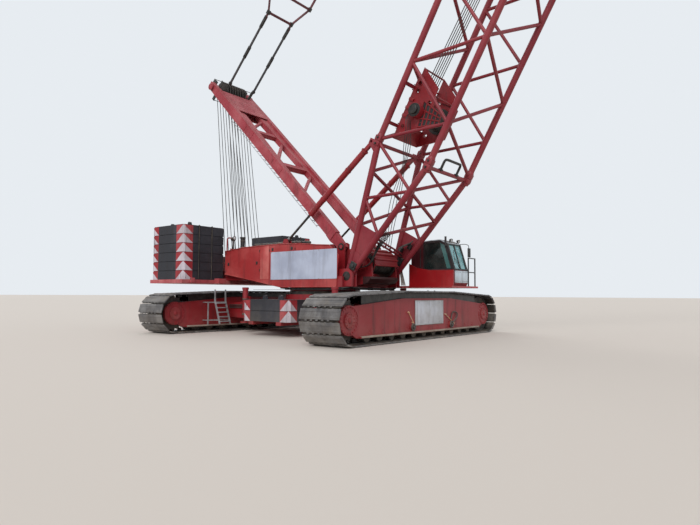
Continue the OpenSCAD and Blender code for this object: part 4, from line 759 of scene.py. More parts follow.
# Roof fittings: two silencers side by side on saddles, a stack with a rain cap, and a work lamp on a post.
# Heat has browned the pipes; clamps hold them, and a red pipe comes up at the rear edge.
scorched = finish("scorched_pipe", (0.045, 0.042, 0.042), (0.11, 0.075, 0.06), gloss=0.45, streaks=0.3,
                  rusting=0.8, dusting=0.4, size=2, metal=0.5)
paint_node(scorched, "roof_fittings")
bm = bmesh.new()
for i in range(2):
    y, z = -1.0 - i * 0.17, ROOF_Z + 0.085
    for x in (-2.76, -2.1, -1.45, -0.9, -0.46):
        turned(bm, band(0.025, 0.0755, 0.083), (x, y, z), (1, 0, 0), 28)
        bar(bm, (x, y - 0.083, z - 0.01), (x, y - 0.083, z + 0.05), 0.01, 6)
    turned(bm, ((0, 0.075), (0.02, 0.073), (0.05, 0.05), (0.09, 0.048), (0.09, 0.0)), (-0.3 * i, y, z),
           (1, 0, 0), 24)
for z in (3.52, 3.78):
    turned(bm, band(0.02, 0.0955, 0.104), (-3.85, -1.0, z), (0, 0, 1), 28)
piece("silencer_clamps", bm, "superstructure", wheel_steel, "track_steel")
bm = bmesh.new()
pipe(bm, [(-4.14, -1.60, 3.33), (-4.14, -1.60, 3.72), (-4.13, -1.60, 3.86), (-4.05, -1.58, 3.88),
          (-3.9, -1.56, 3.86), (-3.86, -1.56, 3.84)], 0.03)
piece("lamp_pipe", bm, "superstructure", main_red, "crane_red")
lens, tree, shader = new_material("lamp_lens")
cut = add(tree, "TexWave", wave_type="RINGS", rings_direction="SPHERICAL")
preset(cut, Scale=30)
tree.links.new(point_of(tree), cut.inputs["Vector"])
glint = mix_colour(tree, cut.outputs["Fac"], (0.62, 0.64, 0.66, 1), (0.80, 0.82, 0.82, 1))
tree.links.new(glint, shader.inputs["Base Color"])
preset(shader, Roughness=0.12)


def lamp(bm_shell, bm_lens, centre, axis, r, depth):
    """A round work lamp: its bowl with a rim, and the lens in it."""
    axis = Vector(axis).normalized()
    bowl = ((-depth, 0), (-depth, 0.35 * r), (-0.6 * depth, 0.8 * r), (-0.1 * depth, r), (0, 1.08 * r),
            (0.02, 1.08 * r), (0.02, 0.96 * r), (0.004, 0.94 * r))
    turned(bm_shell, bowl, centre, axis, 24)
    turned(bm_lens, ((0.004, 0.94 * r), (0.012, 0.6 * r), (0.016, 0)), centre, axis, 24)


shells, lenses = bmesh.new(), bmesh.new()
lamp(shells, lenses, (-3.735, -1.56, 3.862), (1, 0, 0), 0.075, 0.04)
piece("roof_lamp_rim", shells, "superstructure", black, "dark_steel")
piece("roof_lamp_lens", lenses, "superstructure", lens, "galvanised")

# Counterweight tray: a thick plate with lugs under the slabs, in an older pinkish red. Tie rods with nuts
# stand in the grooves of the slabs' front faces and hold each stack down.
old_red = finish("old_red", (0.44, 0.075, 0.085), (0.54, 0.15, 0.15), gloss=0.5, streaks=0.5, rusting=0.3,
                 dusting=0.3, size=1.2)
paint_node(old_red, "counterweight_tray", "rear_sheaves")
bm = bmesh.new()
ROD_X, REAR_SHEAVE = -4.205, Vector((-4.95, 3.0))
AXLE_COVER = (0, 0.15), (0.015, 0.15), (0.02, 0.13), (0.02, 0.0)
for sy in (-1, 1):
    for y in (2.35, 2.99):
        bar(bm, (ROD_X, sy * y, 2.09), (ROD_X, sy * y, 4.30), 0.018, 12)
        for z in (2.13, 4.27):
            bolt(bm, (ROD_X, sy * y, z), (0, 0, 1), 0.032, 0.03)
    for y in (2.0, 3.3):
        bar(bm, (-4.165, sy * y - 0.1, 2.10), (-4.165, sy * y + 0.1, 2.10), 0.025, 14)
piece("tie_rods", bm, "superstructure", wheel_steel, "track_steel")
bm = bmesh.new()
for sy in (-1, 1):
    end = (REAR_SHEAVE.x, sy * 0.98, REAR_SHEAVE.y)
    bolts(bm, end, (0, sy, 0), 0.11, 8, 0.016, 0.02)
    turned(bm, AXLE_COVER, end, (0, sy, 0), 28)
for x in (-5.2, -4.7):
    bar(bm, (x, -0.95, 3.14), (x, 0.95, 3.14), 0.02, 12)
piece("rear_axle_covers", bm, "superstructure", greasy, "dark_steel")

# Cab: a welded steel shell on the platform's left with a leaning windscreen. The body is maroon, painted
# darker above the sill as shade; the lower front panel is a white pressing, black rubber seats the panes, and
# dark trim covers the pillars.
CAB_IN, CAB_OUT, SILL_Z, PILLAR_X = 2.05, 3.15, 2.45, 3.3
SCREEN_LOW, BROW = Vector((4.65, 0, SILL_Z)), Vector((4.33, 0, 3.50))
RAILING_Y, DECK_Z = 3.19, 1.853
cab_red = finish("cab_maroon", (0.20, 0.012, 0.018), (0.27, 0.04, 0.045), gloss=0.35, streaks=0.4,
                 rusting=0.1, dusting=0.4, size=0.9, bump=0.15)
cab_white = finish("cab_white", (0.60, 0.70, 0.78), (0.47, 0.54, 0.59), gloss=0.3, streaks=0.5, rusting=0.06,
                   dusting=0.35, size=1.2, grime=(0.13, 0.11, 0.10), bump=0.1, coat=0.3)
tree = cab_red.node_tree
at = parts_of(tree, point_of(tree))
over_sill = value_of(tree, "GREATER_THAN", at["Z"], SILL_Z + 0.02)
# Painted shade: above the sill the maroon turns darker.
repaint(cab_red, over_sill, (0.085, 0.010, 0.016), (0.12, 0.028, 0.032))
front_pillars = value_of(tree, "MULTIPLY", over_sill, value_of(tree, "GREATER_THAN", at["X"], PILLAR_X))
repaint(cab_red, front_pillars, (0.018, 0.013, 0.015), (0.04, 0.03, 0.032))
paint_node(cab_red, "cab_shell", "cab_door")
DECK_PAINT = {"clean": (0.36, 0.006, 0.010), "faded": (0.42, 0.03, 0.03), "gloss": 0.32, "streaks": 0.3,
              "dusting": 0.3, "size": 0.8, "bump": 0.12, "coat": 0.2}
deck_red = finish("deck_red", rusting=0.1, **DECK_PAINT)
tree = deck_red.node_tree
at = parts_of(tree, point_of(tree))
on_rail = value_of(tree, "MULTIPLY", value_of(tree, "GREATER_THAN", at["Y"], RAILING_Y),
                   value_of(tree, "GREATER_THAN", at["Z"], DECK_Z + 0.003))
repaint(deck_red, on_rail, (0.016, 0.015, 0.016), (0.04, 0.038, 0.038))
paint_node(deck_red, "cab_platform")


def cut_plate(bm, outline, y, thick, edge=0.0):
    """A plate cut to an outline of (x, z) points, from y towards y + thick."""
    plate(bm, [(x, y, z) for x, z in outline], (0, thick, 0), edge)


def cut_ring(bm, outline, y, thick, width):
    """The same with its middle open: a frame of an even width inside the outline."""
    face = bm.faces.new([bm.verts.new((x, y, z)) for x, z in outline])
    ring = bmesh.ops.inset_region(bm, faces=[face], thickness=width, use_even_offset=True)["faces"]
    bmesh.ops.delete(bm, geom=[face], context="FACES_ONLY")
    made = bmesh.ops.extrude_face_region(bm, geom=ring)["geom"]
    bmesh.ops.translate(bm, vec=(0, thick, 0), verts=[v for v in made if isinstance(v, bmesh.types.BMVert)])


def on_screen(y, t, lift=0.0):
    """A point of the windscreen's plane: y across, t from the sill up to the brow, lift out of it."""
    spot = SCREEN_LOW.lerp(BROW, t)
    rise = BROW - SCREEN_LOW
    return Vector((spot.x, y, spot.z)) + lift * Vector((rise.z, 0, -rise.x)).normalized()


def strip_on_screen(bm, y0, y1, t0, t1, lift, thick):
    corners = [on_screen(y, t, lift) for y, t in ((y0, t0), (y1, t0), (y1, t1), (y0, t1))]
    plate(bm, corners, on_screen(0, 0, thick) - on_screen(0, 0), 0.004)


bm = bmesh.new()
box(bm, (4.651, CAB_IN + 0.03, 1.975), (4.672, CAB_OUT - 0.03, 2.43), 0.009)
piece("cab_front_panel", bm, "superstructure", cab_white, "galvanised")
bm = bmesh.new()
for y0, y1 in ((CAB_IN + 0.07, CAB_IN + 0.5), (CAB_IN + 0.6, CAB_OUT - 0.07)):
    for z in (2.03, 2.38):
        box(bm, (4.673, y0, z), (4.676, y1, z + 0.006), 0.001)
for y in (CAB_IN + 0.07, CAB_OUT - 0.07):
    for z in (2.02, 2.395):
        bolt(bm, (4.672, y, z), (1, 0, 0), 0.011, 0.006)
strip_on_screen(bm, CAB_IN - 0.002, CAB_IN + 0.10, -0.02, 1.0, 0.002, 0.018)
strip_on_screen(bm, CAB_OUT - 0.10, CAB_OUT + 0.002, -0.02, 1.0, 0.002, 0.018)
strip_on_screen(bm, CAB_IN + 0.09, CAB_OUT - 0.09, 0.0, 0.055, 0.002, 0.016)
strip_on_screen(bm, CAB_IN + 0.09, CAB_OUT - 0.09, 0.935, 1.0, 0.002, 0.016)
strip_on_screen(bm, 2.57, 2.63, 0.05, 0.945, -0.018, 0.03)
side_gasket = ((3.36, 2.52), (4.515, 2.52), (4.225, 3.435), (4.01, 3.52), (3.36, 3.50))
cut_ring(bm, side_gasket, CAB_IN - 0.006, 0.03, 0.03)
piece("cab_trim", bm, "superstructure", black, "dark_steel")
bm = bmesh.new()
roof = ((2.75, 3.55), (3.45, 3.62), (4.05, 3.64), (4.33, 3.50))
for y in (CAB_IN, CAB_OUT):
    for (x0, z0), (x1, z1) in zip(roof, roof[1:]):
        bar(bm, (x0, y, z0 - 0.012), (x1, y, z1 - 0.012), 0.018, 8)
bar(bm, (4.34, CAB_IN, 3.49), (4.34, CAB_OUT, 3.49), 0.018, 8)
bar(bm, (2.75, CAB_IN, 3.54), (2.75, CAB_OUT, 3.54), 0.018, 8)
for z in (2.2, 2.95):
    box(bm, (2.742, CAB_IN + 0.2, z - 0.006), (2.752, CAB_OUT - 0.2, z + 0.006), 0.002)
piece("cab_gutter", bm, "superstructure", cab_white, "galvanised")

# Cab equipment: wiper, grab rail, mirror on a bent arm, two work lamps over the brow and the cap of the
# post at the front corner, all in black.
LAMP_YS = (2.3, 2.9)
bm = bmesh.new()
pipe(bm, [on_screen(2.40, 0.02, 0.03), on_screen(2.40, 0.05, 0.06), on_screen(2.36, 0.2, 0.045),
          on_screen(2.30, 0.45, 0.04)], 0.009, 2)
bar(bm, on_screen(2.20, 0.22, 0.03), on_screen(2.38, 0.74, 0.03), 0.009, 6)
y = CAB_IN - 0.05
pipe(bm, [(3.2, CAB_IN, 2.55), (3.2, y, 2.55), (3.2, y, 2.7), (3.2, y, 3.2), (3.2, y, 3.3),
          (3.2, CAB_IN, 3.3)], 0.015, 2)
turned(bm, ((0, 0.0), (0, 0.042), (0.02, 0.046), (0.03, 0.03), (0.03, 0.0)), (4.31, 2.005, 3.71),
       (0, 0, 1), 24)
pipe(bm, [(4.34, CAB_OUT - 0.1, 3.49), (4.45, CAB_OUT - 0.02, 3.52), (4.6, CAB_OUT + 0.14, 3.50),
          (4.62, CAB_OUT + 0.2, 3.42), (4.62, CAB_OUT + 0.2, 3.15)], 0.012, 2)
box(bm, (4.60, CAB_OUT + 0.10, 3.0), (4.635, CAB_OUT + 0.32, 3.36), 0.012)
for y in LAMP_YS:
    bar(bm, (4.31, y, 3.525), (4.34, y, 3.585), 0.014, 8)
piece("cab_fittings", bm, "superstructure", black, "dark_steel")
shells, lenses = bmesh.new(), bmesh.new()
for y in LAMP_YS:
    lamp(shells, lenses, (4.40, y, 3.60), (0.95, 0, -0.3), 0.07, 0.09)
piece("cab_lamps", shells, "superstructure", black, "dark_steel")
piece("cab_lamp_lenses", lenses, "superstructure", lens, "galvanised")

# Panes: tinted safety glass in rubber, under a thin film of dust. The side panes are painted dark for the
# shade inside the cab, the front corner and the windscreen pale and blue-green for bright sky seen through
# and reflected in them. The sliding door has its own pane, latch and handle.
glass, tree, shader = new_material("cab_glass")
spot = point_of(tree)
at = parts_of(tree, spot)
SCREEN_LEAN, CORNER_FROM, SCREEN_FROM = 0.305, 5.10, 5.33
ahead_of = value_of(tree, "MULTIPLY_ADD", at["Z"], SCREEN_LEAN, at["X"])
is_screen = value_of(tree, "GREATER_THAN", ahead_of, SCREEN_FROM)
is_corner = value_of(tree, "GREATER_THAN", ahead_of, CORNER_FROM)
# Painted light and shade: dark side panes for the cab's shaded inside, pale blue-green corner and windscreen
# for bright sky seen through and reflected.
side = mix_colour(tree, is_corner, (0.02, 0.04, 0.04, 1), (0.13, 0.38, 0.37, 1))
tint_and_painted_light = mix_colour(tree, is_screen, side, (0.40, 0.80, 0.84, 1))
film = spread_of(tree, noise_of(tree, spot, 3, 6, 0.6), 0.35, 0.75, 0.35)
tree.links.new(mix_colour(tree, film, tint_and_painted_light, (0.22, 0.21, 0.19, 1)), shader.inputs["Base Color"])
tree.links.new(value_of(tree, "MULTIPLY_ADD", film, 0.35, 0.04), shader.inputs["Roughness"])
preset(shader, Transmission_Weight=0.5, IOR=1.45)
paint_node(glass, "cab_windows")
DOOR_PANE = (3.40, 2.49), (4.55, 2.49), (4.36, 3.32), (3.40, 3.32)
bm = bmesh.new()
cut_plate(bm, DOOR_PANE, CAB_OUT + 0.018, 0.008)
piece("door_pane", bm, "cab_door", glass, "cab_glass")
bm = bmesh.new()
cut_ring(bm, DOOR_PANE, CAB_OUT + 0.044, 0.006, 0.03)
box(bm, (3.44, CAB_OUT + 0.046, 2.22), (3.58, CAB_OUT + 0.06, 2.30), 0.006)
pipe(bm, [(3.47, CAB_OUT + 0.05, 2.26), (3.47, CAB_OUT + 0.1, 2.26), (3.5, CAB_OUT + 0.1, 2.26),
          (3.6, CAB_OUT + 0.1, 2.26)], 0.012, 2)
pipe(bm, [(3.44, CAB_OUT + 0.046, 2.5), (3.44, CAB_OUT + 0.1, 2.5), (3.44, CAB_OUT + 0.1, 2.6),
          (3.44, CAB_OUT + 0.1, 3.0), (3.44, CAB_OUT + 0.1, 3.1), (3.44, CAB_OUT + 0.046, 3.1)], 0.012, 2)
piece("door_handle", bm, "cab_door", black, "dark_steel")

# Seat and controls: a sprung seat in black cloth on its pedestal, two side consoles with levers and a
# slim display. Cushions are stitched foam, crowned in the middle.
cloth = finish("seat_cloth", (0.018, 0.018, 0.020), (0.04, 0.039, 0.04), gloss=0.8, streaks=0.1, rusting=0.0,
               dusting=0.3, size=6, bump=0.5)
moulded = finish("console_plastic", (0.03, 0.03, 0.032), (0.06, 0.06, 0.06), gloss=0.45, streaks=0.15,
                 rusting=0.0, dusting=0.4, size=6, bump=0.3)
paint_node(moulded, "cab_seat")


def cushion(bm, low, high, crown, axis):
    """A stuffed block: round edges, its middle raised along the axis."""
    low, high = Vector(low), Vector(high)
    made = bmesh.ops.create_cube(bm, size=1)["verts"]
    bmesh.ops.subdivide_edges(bm, edges=list({e for v in made for e in v.link_edges}), cuts=7,
                              use_grid_fill=True)
    for vert in bm.verts:
        if max(abs(c) for c in vert.co) > 0.51 or vert.tag:
            continue
        p = vert.co
        swell = math.cos(p[(axis + 1) % 3] * math.pi) * math.cos(p[(axis + 2) % 3] * math.pi)
        ends = [(2 * c) ** 4 for c in p]
        q = Vector([c * (1 - 0.10 * (sum(ends) - end)) for c, end in zip(p, ends)])
        q[axis] += crown * swell * (1 if p[axis] > 0 else -0.3) * abs(2 * p[axis])
        vert.co = Vector([low[i] + (q[i] + 0.5) * (high[i] - low[i]) for i in range(3)])
        vert.tag = True


cushions = bmesh.new()
for low, high, axis in (((3.26, 2.37, 2.41), (3.74, 2.83, 2.50), 2),
                        ((3.2, 2.37, 2.46), (3.33, 2.83, 2.99), 0)):
    part = bmesh.new()
    cushion(part, low, high, 0.22, axis)
    held = bpy.data.meshes.new("cushion")
    part.to_mesh(held)
    part.free()
    cushions.from_mesh(held)
seat = piece("seat_cushions", cushions, "superstructure", cloth, "seat_black", smooth=80)
bm = bmesh.new()
for y in (2.28, 2.92):
    turned(bm, ((0, 0.0), (0, 0.05), (0.02, 0.05), (0.05, 0.018), (0.14, 0.014), (0.15, 0.028),
                (0.19, 0.03), (0.21, 0.0)), (3.75, y, 2.49), (0.15, 0, 1), 20)
    for i in range(3):
        box(bm, (3.55 + 0.05 * i, y - 0.03, 2.478), (3.58 + 0.05 * i, y + 0.03, 2.49), 0.003)
box(bm, (4.36, 2.86, 2.52), (4.39, 3.05, 2.72), 0.008)
bar(bm, (4.36, 2.95, 2.3), (4.36, 2.95, 2.53), 0.015, 10)
for y in (2.3, 2.78):
    box(bm, (4.2, y, 1.91), (4.42, y + 0.12, 1.95), 0.01)
piece("cab_controls", bm, "superstructure", moulded, "seat_black")

# Walkway: a folded deck beside and under the cab with chequered treads, toe strips and clamps on its
# railings. Pale hydraulic lines come down to it behind the cab.
fresh_red = finish("skirt_red", rusting=0.06, **DECK_PAINT)
TREAD_ROWS, TREAD_LINES = 30, 6
bm = bmesh.new()
for i in range(TREAD_ROWS):
    for k in range(TREAD_LINES):
        x, y = 2.0 + 0.09 * i, RAILING_Y + 0.09 + 0.085 * k
        box(bm, (x, y, DECK_Z - 0.0035), (x + 0.05, y + 0.012, DECK_Z))
for z in (2.42, 2.98):
    for x in (2.02, 2.92, 3.78):
        box(bm, (x - 0.028, 3.792, z - 0.048), (x + 0.028, 3.848, z + 0.008), 0.006)
piece("walkway_treads", bm, "superstructure", fresh_red, "crane_red")
hose_pale = finish("pale_sleeve", (0.42, 0.40, 0.36), (0.30, 0.28, 0.25), gloss=0.6, streaks=0.4, rusting=0.0,
                   dusting=0.5, size=6, bump=0.3)
bm = bmesh.new()
for i in range(4):
    y = 1.70 + 0.055 * i
    pipe(bm, [(1.9 + 0.03 * i, y, 2.9), (2.05 + 0.04 * i, y, 2.92), (2.3 + 0.03 * i, y, 2.75),
              (2.42, y, 2.45), (2.5, y, 2.15), (2.52 + 0.02 * i, y, 1.87)], 0.02, 2)
box(bm, (2.36, 1.66, 2.5), (2.42, 1.90, 2.54), 0.006)
piece("cab_lines", bm, "superstructure", hose_pale, "galvanised")

# Winch drums: grooved barrels under wound wire rope, between flanges in their bolted plates. The luffing
# drum sits between the boom's feet, the hoisting drum inside the boom.
IN_BOOM = Matrix.Translation(BOOM_PIVOT) @ Matrix.Rotation(math.radians(-60.9), 4, "Y")
drum_steel = finish("drum_steel", (0.045, 0.042, 0.042), (0.09, 0.075, 0.065), gloss=0.4, streaks=0.3,
                    rusting=0.4, dusting=0.4, size=2, metal=0.6)
rope_steel = finish("wire_rope", (0.035, 0.033, 0.031), (0.085, 0.08, 0.072), gloss=0.45, streaks=0.5,
                    rusting=0.25, dusting=0.4, size=6, metal=0.5, bump=0.8)
paint_node(drum_steel, "luffing_drum", "hoist_drum")
paint_node(rope_steel, "hook_falls")
DRUM_R, ROPE_R, DRUM_HALF = 0.33, 0.014, 0.59


def wound(bm, centre, half):
    """One layer of rope round a drum: every turn lies beside the last."""
    turns = int(half / ROPE_R)
    line = [(-half, DRUM_R)]
    for i in range(turns):
        for k in range(4):
            a = math.pi * (k + 0.5) / 4
            line.append((-half + ROPE_R * (2 * i + 1 - math.cos(a)), DRUM_R + ROPE_R + ROPE_R * math.sin(a)))
    line.append((line[-1][0], DRUM_R))
    turned(bm, line, centre, (0, 1, 0), 40)


def drum_rings(bm, centre):
    """The turned rims of the two flanges with their bolts."""
    for sy in (-1, 1):
        face = Vector(centre) + Vector((0, sy * 0.65, 0))
        turned(bm, ((0, 0.472), (0.012, 0.465), (0.012, 0.44), (0, 0.435)), face, (0, sy, 0), 48)
        bolts(bm, face, (0, sy, 0), 0.40, 16, 0.014, 0.016)
        bolts(bm, face, (0, sy, 0), 0.17, 8, 0.016, 0.02)


HOIST_U, HOIST_V, WINCH_BEAMS = 6.1, 0.5, (5.4, 6.8)
luff_at, hoist_at = Vector((2.45, 0, 2.6303)), IN_BOOM @ Vector((HOIST_U, 0, HOIST_V))
for winch, centre, carried_by in (("luffing", luff_at, "superstructure"), ("hoist", hoist_at, "boom")):
    bm = bmesh.new()
    wound(bm, centre, DRUM_HALF - 0.001)
    piece(winch + "_rope_wrap", bm, winch + "_drum", rope_steel, "rope", smooth=60)
    bm = bmesh.new()
    drum_rings(bm, centre)
    piece(winch + "_drum_rings", bm, winch + "_drum", main_red, "crane_red")
    bm = bmesh.new()
    turned(bm, ((0, 0.235), (0.02, 0.225), (0.03, 0.16), (0.10, 0.15), (0.11, 0.13), (0.11, 0.0)),
           centre + Vector((0, -1.0795, 0)), (0, -1, 0), 32)
    bolts(bm, centre + Vector((0, -1.08, 0)), (0, -1, 0), 0.20, 12, 0.012, 0.035)
    end = centre + Vector((0, 0.8, 0))
    turned(bm, ((0, 0.17), (0.02, 0.165), (0.03, 0.14), (0.03, 0.0)), end, (0, 1, 0), 32)
    bolts(bm, end, (0, 1, 0), 0.15, 10, 0.012, 0.03)
    piece(winch + "_gear_cover", bm, carried_by, greasy, "dark_steel")

# Guard over the luffing drum: a rolled red sheet between the winch plates with stiffening ribs across it
# and a hose tray along the platform's edge below.
GUARD_R, GUARD_HALF, GUARD_RIBS, GUARD_LOW, GUARD_SWEEP = 0.52, 0.715, 7, -0.15, 2.5
bm = bmesh.new()
guard = [bm.verts.new(luff_at + Vector((GUARD_R * math.cos(GUARD_LOW), y, GUARD_R * math.sin(GUARD_LOW))))
         for y in (-GUARD_HALF, GUARD_HALF)]
bmesh.ops.spin(bm, geom=guard + [bm.edges.new(guard)], cent=luff_at, axis=(0, -1, 0), angle=GUARD_SWEEP,
               steps=22)
bmesh.ops.recalc_face_normals(bm, faces=bm.faces)
bmesh.ops.solidify(bm, geom=bm.faces[:], thickness=0.012)
for i in range(GUARD_RIBS):
    a = GUARD_LOW + 0.03 + (GUARD_SWEEP - 0.08) * i / (GUARD_RIBS - 1)
    x, z = luff_at.x + (GUARD_R + 0.02) * math.cos(a), luff_at.z + (GUARD_R + 0.02) * math.sin(a)
    bar(bm, (x, -GUARD_HALF, z), (x, GUARD_HALF, z), 0.034, 12)
piece("drum_guard", bm, "superstructure", main_red, "crane_red", smooth=40)
HOSE_R = 0.028
bm = bmesh.new()
for y in (-1.60, -1.53, -1.46):
    pipe(bm, [(-0.9, y, 1.75), (-0.5, y, 1.72), (0.4, y, 1.715), (1.2, y, 1.715), (2.0, y, 1.72),
              (2.38, y, 1.745)], HOSE_R, 2)
for x in (-0.6, 0.1, 0.8, 1.5, 2.2):
    box(bm, (x - 0.03, -1.635, 1.685), (x + 0.03, -1.42, 1.76), 0.008)
box(bm, (-2.4, -1.66, 1.672), (2.38, -1.40, 1.684), 0.004)
for x, drop in ((2.32, 0.01), (2.39, 0.03), (2.46, 0.0)):
    pipe(bm, [(x, -1.36, 1.76), (x, -1.30, 1.735 - drop), (x, -0.5, 1.725 - drop), (x, 0.4, 1.725 - drop),
              (x, 1.30, 1.735 - drop), (x, 1.36, 1.76)], HOSE_R, 2)
for y in (-1.0, -0.2, 0.6, 1.2):
    box(bm, (2.28, y - 0.03, 1.66), (2.50, y + 0.03, 1.775), 0.008)
piece("platform_hoses", bm, "superstructure", black, "dark_steel")

# Mast: two box legs of welded plate with cross beams and a boxed head, in old pinkish paint. Doubler
# plates and bolted covers stand at its joints, and a step ladder runs up the right leg.
mast_red = finish("mast_red", (0.33, 0.030, 0.045), (0.42, 0.085, 0.10), gloss=0.5, streaks=0.5, rusting=0.3,
                  dusting=0.2, size=1.1)
paint_node(mast_red, "mast_frame")
paint_node(drum_steel, "mast_sheaves", "head_sheaves")
MAST_LEN = 10.96
IN_MAST = Matrix.Translation(MAST_PIVOT) @ Matrix.Rotation(math.radians(-135), 4, "Y")
bm = bmesh.new()
for sy in (-1, 1):
    for u in (1.0, 4.7, 5.4, 7.2, 7.8):
        for face in (-1, 1):
            y = sy * LEG_Y + face * 0.12
            box(bm, (u - 0.16, y, -0.15), (u + 0.16, y + face * 0.012, 0.15), 0.006)
    for u in (5.05, 7.5):
        for face in (-1, 1):
            for du in (-0.19, 0.19):
                bolts(bm, (u + du * 0.2, sy * 0.86, face * 0.11), (0, 0, face), 0.07, 4, 0.012, 0.014)
    turned(bm, AXLE_COVER, (MAST_LEN, sy * 1.2, 0), (0, sy, 0), 24)
    bolts(bm, (MAST_LEN, sy * 1.22, 0), (0, sy, 0), 0.11, 8, 0.014, 0.014)
piece("mast_doublers", bm, "mast", mast_red, "crane_red", within=IN_MAST)
WEB_HALF = 0.115
MAST_WEB = (1.2, 0.885), (8.6, 0.885), (9.55, 0.885), (9.55, 0.50), (8.6, 0.46), (4.0, 0.70)
bm = bmesh.new()
for sy in (-1, 1):
    plate(bm, [(u, sy * y, -WEB_HALF) for u, y in MAST_WEB], (0, 0, 2 * WEB_HALF))
for u0, y0, u1, y1 in ((5.5, -0.60, 6.9, 0.55), (7.9, -0.5, 8.7, 0.47), (3.2, -0.76, 4.6, 0.68)):
    bar(bm, (u0, y0, 0), (u1, y1, 0), 0.075, 14)
piece("mast_webs", bm, "mast", mast_red, "crane_red", smooth=40, within=IN_MAST)
bm = bmesh.new()
STEP_HALF, STEP_V, STEPS, BRACKETS = 0.17, 0.26, 24, 6
for y in (-LEG_Y - STEP_HALF, -LEG_Y + STEP_HALF):
    bar(bm, (1.4, y, STEP_V), (8.6, y, STEP_V), 0.014, 8)
for i in range(STEPS):
    u = 1.5 + i * 0.3
    bar(bm, (u, -LEG_Y - STEP_HALF, STEP_V), (u, -LEG_Y + STEP_HALF, STEP_V), 0.011, 8)
for i in range(BRACKETS):
    for y in (-LEG_Y - 0.1, -LEG_Y + 0.1):
        bar(bm, (1.7 + i * 1.3, y, 0.19), (1.7 + i * 1.3, y, STEP_V), 0.012, 6)
piece("mast_ladder", bm, "mast", silver, "galvanised", within=IN_MAST)
KEEPER_Y = 0.88
bm = bmesh.new()
for u, v in ((-0.25, 0.47), (-0.25, -0.47), (0.41, 0.12), (0.42, -0.25)):
    bar(bm, (MAST_LEN + u, -KEEPER_Y, v), (MAST_LEN + u, KEEPER_Y, v), 0.014, 12)
for y in (-KEEPER_Y - 0.022, KEEPER_Y - 0.002):
    box(bm, (MAST_LEN + 0.1, y, -0.28), (MAST_LEN + 0.43, y + 0.024, 0.13), 0.004)
    box(bm, (MAST_LEN - 0.28, y, -0.5), (MAST_LEN - 0.1, y + 0.024, 0.5), 0.004)
piece("mast_rope_guards", bm, "mast", greasy, "dark_steel", within=IN_MAST)

# Luffing falls: one wire rope in sixteen parts between the rear sheaves and the mast's head. Each end lies on
# its sheave, and every part is cut into short spans along its length.
REAR_R, REAR_HALF = 0.33, 0.85
TIP_SHEAVE, TIP_R, TIP_HALF = MAST_PIVOT.xz + MAST_LEN * math.sqrt(0.5) * Vector((-1, 1)), 0.38, 0.60
ROPE_ROWS, ROPE_CUTS = 8, 24


def leaves(sheave, r, other, other_r, side):
    """Where a rope leaves the first of two sheaves, as (x, z)."""
    run = other - sheave
    a = math.atan2(run.y, run.x) + side * math.acos((r - other_r) / run.length)
    return sheave + (r + ROPE_R + 0.0003) * Vector((math.cos(a), math.sin(a)))


bm = bmesh.new()
for i in range(ROPE_ROWS):
    across = 2 * (i + 0.5) / ROPE_ROWS - 1
    for side in (-1, 1):
        low = leaves(REAR_SHEAVE, REAR_R, TIP_SHEAVE, TIP_R, side)
        high = leaves(TIP_SHEAVE, TIP_R, REAR_SHEAVE, REAR_R, -side)
        part = bar(bm, (low.x, across * REAR_HALF, low.y), (high.x, across * TIP_HALF, high.y), ROPE_R, 12)
        runs = {e for v in part for e in v.link_edges if e.calc_length() > 1}
        bmesh.ops.subdivide_edges(bm, edges=list(runs), cuts=ROPE_CUTS)
falls = piece("luffing_falls", bm, None, rope_steel, "rope", "luffing_ropes")
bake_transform(falls)

# Boom: four round chords laced by round tubes, welded in lengths that end in forks and pins. The foot
# tapers to two side plates, the head to the sheave plates. The paint is dull and dusty.
boom_red = finish("boom_red", (0.21, 0.008, 0.019), (0.27, 0.028, 0.038), gloss=0.42, streaks=0.4,
                  rusting=0.25, dusting=0.15, size=0.6)
boom_dark = finish("boom_pin_steel", (0.06, 0.045, 0.045), (0.12, 0.09, 0.08), gloss=0.4, streaks=0.4,
                   rusting=0.5, dusting=0.4, size=3, metal=0.5)
REAR_V, CHORD_R, LACE_R, SIDE_R, TIE_R = 1.135, 0.11, 0.06, 0.057, 0.066
FOOT_END, BAY, TAPER_U, PLATE_U = 4.69, 1.4, 36.89, 41.3
HEAD_Y, HEAD_V, FOOT_V = 0.62, 0.45, 0.11


def chord_at(u, sy, sv):
    """The centre of one chord at a way of u along the boom."""
    t = max(0, (u - TAPER_U) / (PLATE_U - TAPER_U))
    v = mixed(FOOT_V, REAR_V, (u - 0.3) / (FOOT_END - 0.3)) if u < FOOT_END else mixed(REAR_V, HEAD_V, t)
    return Vector((u, sy * mixed(CHORD_Y, HEAD_Y, t), sv * v))


def welded(bm, a, b, radius, sides=14):
    """A lacing tube with its weld beads: it ends inside both chords."""
    bar(bm, a, b, radius, sides)
    run = (b - a).normalized()
    for end, way in ((a, run), (b, -run)):
        turned(bm, ((0.095, radius + 0.001), (0.11, radius + 0.012), (0.128, radius + 0.001)), end, way, 14)


def laced(bm, stations, start, rear_start):
    """The zigzag lacing of the two sides, the front and the rear between stations along the boom."""
    for i, (a, b) in enumerate(zip(stations, stations[1:])):
        s, r = (start, rear_start) if i % 2 == 0 else (-start, -rear_start)
        for sy in (-1, 1):
            welded(bm, chord_at(a, sy, s), chord_at(b, sy, -s), SIDE_R)
        welded(bm, chord_at(a, s, -1), chord_at(b, -s, -1), LACE_R)
        welded(bm, chord_at(a, r, 1), chord_at(b, -r, 1), LACE_R)


